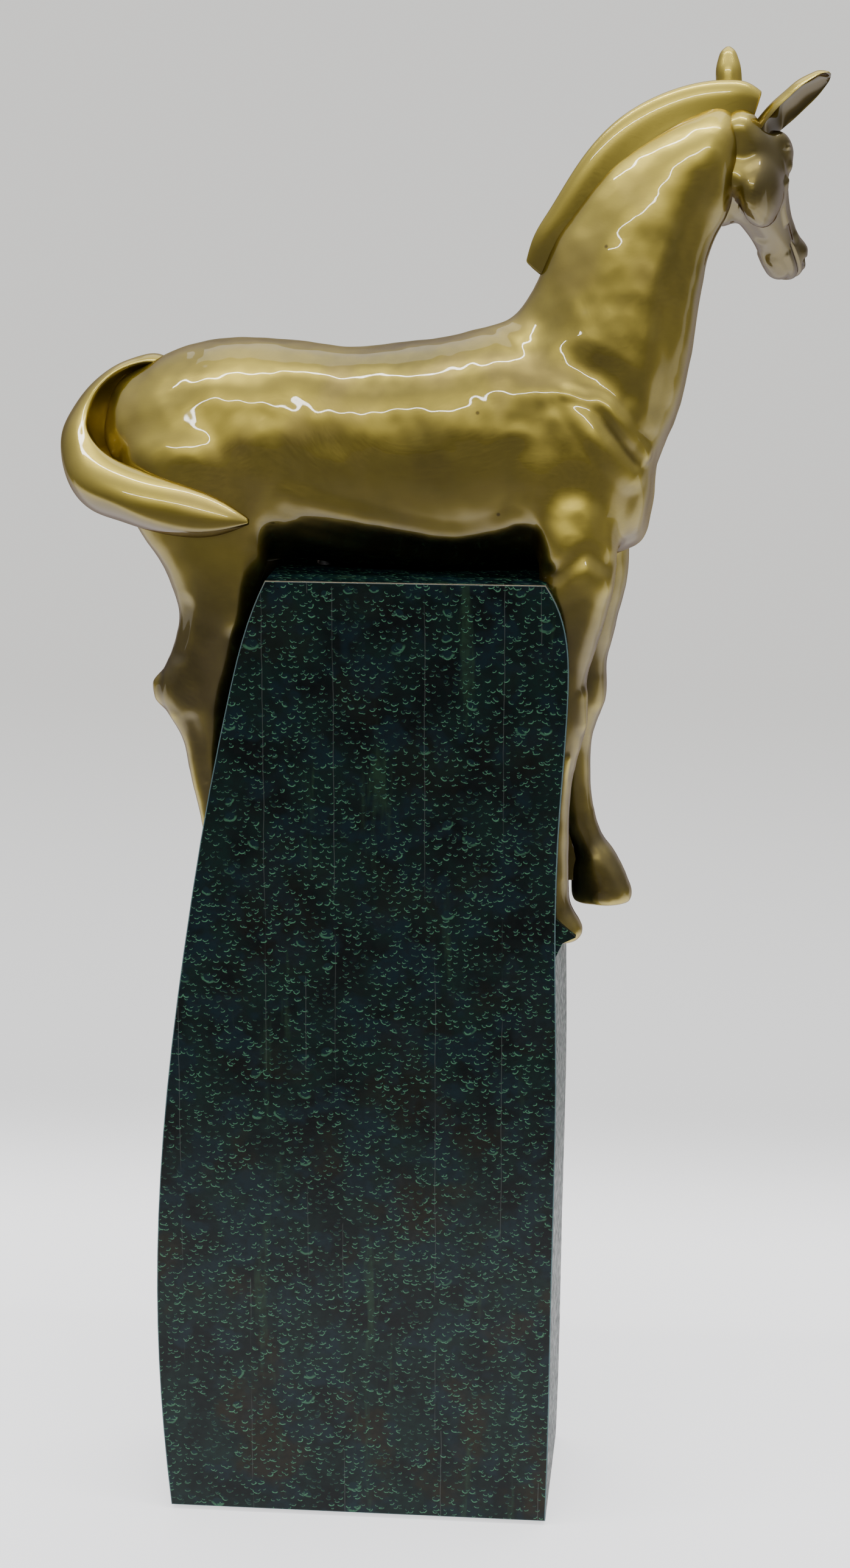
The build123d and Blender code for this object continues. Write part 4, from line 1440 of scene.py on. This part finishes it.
@dataclass(frozen=True)
class Studio:
    """Camera, lamps, floor and the room's light."""

    eye: Point = (0.1592, -1.3691, 0.6936)
    turn: float = 5.475
    tilt: float = 14.0
    lens: float = 69.88
    sensor: float = 36.0
    lamps: tuple[Lamp, ...] = (
        Lamp("tube_over", (0.0, -0.3, 1.75), (0.0, 0.0, 0.55), (2.0, 0.045), 14.0),
        Lamp("tube_front", (0.0, -1.45, 1.38), (0.0, 0.0, 0.5), (1.8, 0.035), 8.5),
        Lamp("soft_back", (0.1, 0.6, 1.75), (0.0, 0.0, 0.5), (1.6, 0.9), 6.0),
    )
    floor_near: Colour = (0.80, 0.80, 0.81)
    floor_front: Colour = (0.22, 0.21, 0.20)
    glow_near: Colour = (1.05, 1.05, 1.08)
    glow_middle: Colour = (1.35, 1.35, 1.35)
    glow_far: Colour = (0.98, 0.97, 0.94)
    dim_side: Colour = (0.26, 0.25, 0.23)
    dim_front: Colour = (0.11, 0.105, 0.10)
    above: Colour = (1.15, 1.15, 1.14)
    dark: Colour = (0.0, 0.0, 0.0)
    middle: float = 0.05
    eye_back: float = 1.4
    front_strip: tuple[float, float] = (-0.75, -0.2)
    rise_strip: tuple[float, float] = (0.28, 0.55)
    fade_strip: tuple[float, float] = (0.55, 1.9)
    side_spread: tuple[float, float] = (0.3, 1.5)

    def camera(self) -> None:
        """Makes the camera."""
        data = bpy.data.cameras.new("camera")
        data.lens, data.sensor_width = self.lens, self.sensor
        data.clip_start, data.clip_end = 0.01, 50.0
        obj = bpy.data.objects.new("camera", data)
        az, dip = radians(self.turn), radians(self.tilt)
        forward = Vector((-sin(az) * cos(dip), cos(az) * cos(dip), -sin(dip)))
        obj.rotation_mode = "QUATERNION"
        obj.rotation_quaternion = forward.to_track_quat("-Z", "Y")
        obj.location = self.eye
        bpy.context.scene.collection.objects.link(obj)
        bpy.context.scene.camera = obj

    def light(self, lamp: Lamp) -> None:
        """Makes one lamp."""
        data = bpy.data.lights.new(lamp.name, "AREA")
        data.shape, data.energy, data.color = "RECTANGLE", lamp.power, lamp.colour
        data.size, data.size_y = lamp.size
        obj = bpy.data.objects.new(lamp.name, data)
        obj.location = lamp.place
        obj.rotation_mode = "QUATERNION"
        obj.rotation_quaternion = (Vector(lamp.aim) - Vector(lamp.place)).to_track_quat("-Z", "Y")
        bpy.context.scene.collection.objects.link(obj)

    def floor(self) -> None:
        """Makes the pale floor, greyer further back."""
        bm = bmesh.new()
        bmesh.ops.create_grid(bm, x_segments=1, y_segments=1, size=40.0)
        obj = to_object("floor", from_bmesh("floor", bm))
        made, graph, shader = new_material("floor")
        where = graph.place()
        across, depth = graph.axes(where)[:2]
        aside = graph.math("ABSOLUTE", graph.math("SUBTRACT", across, self.middle))
        away = graph.math("MAXIMUM", graph.math("ADD", depth, self.eye_back), 0.1)
        spread = graph.math("DIVIDE", aside, away)
        rise = graph.step(depth, *self.rise_strip)
        fade = graph.step(depth, *self.fade_strip)
        front = graph.step(depth, *self.front_strip)
        base = graph.blend(rise, self.floor_near, self.dark)
        glow = graph.blend(rise, self.glow_near, self.glow_middle)
        glow = graph.blend(fade, glow, self.glow_far)
        glow = graph.blend(graph.step(spread, *self.side_spread), glow, self.dim_side)
        graph.fill(shader, {
            "Base Color": graph.blend(front, self.floor_front, base),
            "Emission Color": graph.blend(front, self.dark, glow),
            "Emission Strength": 1.0,
            "Specular IOR Level": 0.0,
            "Roughness": 0.85,
        })
        obj.data.materials.append(made)

    def room(self) -> None:
        """Makes the room's light: bright above and behind, dim in front and low."""
        world = bpy.data.worlds.new("world")
        bpy.context.scene.world = world
        world.use_nodes = True
        graph = Graph(world.node_tree)
        way = graph.axes(graph.add("TexCoord").outputs["Generated"])
        above = graph.step(way[2], -0.05, 0.95)
        behind = graph.step(way[1], -0.75, 0.45)
        aside = graph.math("ABSOLUTE", graph.math("SUBTRACT", way[0], 0.1))
        low = graph.blend(behind, self.dim_front, self.glow_far)
        low = graph.blend(graph.step(aside, 0.4, 0.8), low, self.dim_side)
        background = world.node_tree.nodes["Background"]
        graph.fill(background, {"Color": graph.blend(above, low, self.above), "Strength": 1.0})

    def build(self) -> None:
        """Makes everything round the object."""
        self.camera()
        for lamp in self.lamps:
            self.light(lamp)
        self.floor()
        self.room()


# ---- assembly ---------------------------------------------------------------------------------
CAST = "gold_bronze"
PATINA = "green_patina"
TOP_PATINA = "green_patina_top"
FINISH_OF = {
    PATINA: ("plinth_fore_plate", "fore_hoof_ledge"),
    TOP_PATINA: ("plinth_top_plate", "plinth_hind_plate"),
    CAST: ("pastern_web",),
    "raw_bronze": ("belly_bosses", "corner_lugs", "bottom_plate", "stiffener_plate"),
    "steel": ("body_studs", "stud_washers", "stud_nuts", "leg_screws", "bottom_screws"),
    "pad_rubber": ("base_pad",),
}


EARS = {
    "right_ear": Ear((175.5, 10.5, 191), (205, 6, 219.5), (0.56, -0.46, -0.68), 1.4),
    "left_ear": Ear((163, 19, 198), (160.5, 22, 230.5), (0.4, 0.9, 0.1), 0.86),
}


def finishes() -> dict[str, bpy.types.Material]:
    """Every finish by its slot's name."""
    effects = Effects()
    made = {
        CAST: GoldBronze().material(effects),
        PATINA: GreenPatina().material(effects),
        TOP_PATINA: GreenPatina(TOP_PATINA, coat=0.0, shine=0.0).material(effects),
    }
    for plain in (
        PlainFinish("raw_bronze", (0.23, 0.15, 0.07), (0.11, 0.08, 0.045), 1.0, (0.4, 0.6)),
        PlainFinish("steel", (0.52, 0.52, 0.53), (0.36, 0.36, 0.38), 1.0, (0.25, 0.4)),
        PlainFinish("pad_rubber", (0.022, 0.022, 0.023), (0.035, 0.034, 0.033), 0.0, (0.7, 0.9)),
    ):
        made[plain.name] = plain.material(effects)
    return made


def add_piece(name: str, mesh: bpy.types.Mesh, node: str,
              finish: bpy.types.Material) -> None:
    """Puts one finished piece in the scene in place of its CAD node.

    Args:
        name: the piece's name.
        mesh: its mesh, in the row's frame.
        node: the CAD node that it stands for.
        finish: its material.
    """
    mesh.materials.clear()
    mesh.materials.append(finish)
    piece = to_object(name, mesh)
    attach(piece, "root")
    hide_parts(node)
    LOG.info("%s: %d faces", name, len(mesh.polygons))


def main() -> None:
    """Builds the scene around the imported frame."""
    logging.basicConfig(level=logging.INFO, format="%(name)s: %(message)s")
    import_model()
    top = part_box("plinth_top_plate")[1][2]
    Studio().build()
    made = finishes()
    castings = Body().castings()
    castings["head_casting"] = Head().mesh()
    for name, ear in EARS.items():
        castings[name] = ear.mesh(name)
    castings["mane_ridge"] = Mane().mesh()
    castings["tail_casting"] = Tail().mesh()
    for node, mesh in castings.items():
        finish_mesh(mesh, top)
        add_piece(node.replace("_casting", "") + "_skin", mesh, node, made[CAST])
    for plate in (PlinthPlate("plinth_front_plate", -1), PlinthPlate("plinth_back_plate", 1)):
        mesh = plate.mesh()
        add_piece(mesh.name, mesh, plate.node, made[PATINA])
    for slot, nodes in FINISH_OF.items():
        for node in nodes:
            for holder in bpy.data.objects[node].material_slots:
                holder.material = made[slot]


if __name__ == "__main__":
    main()
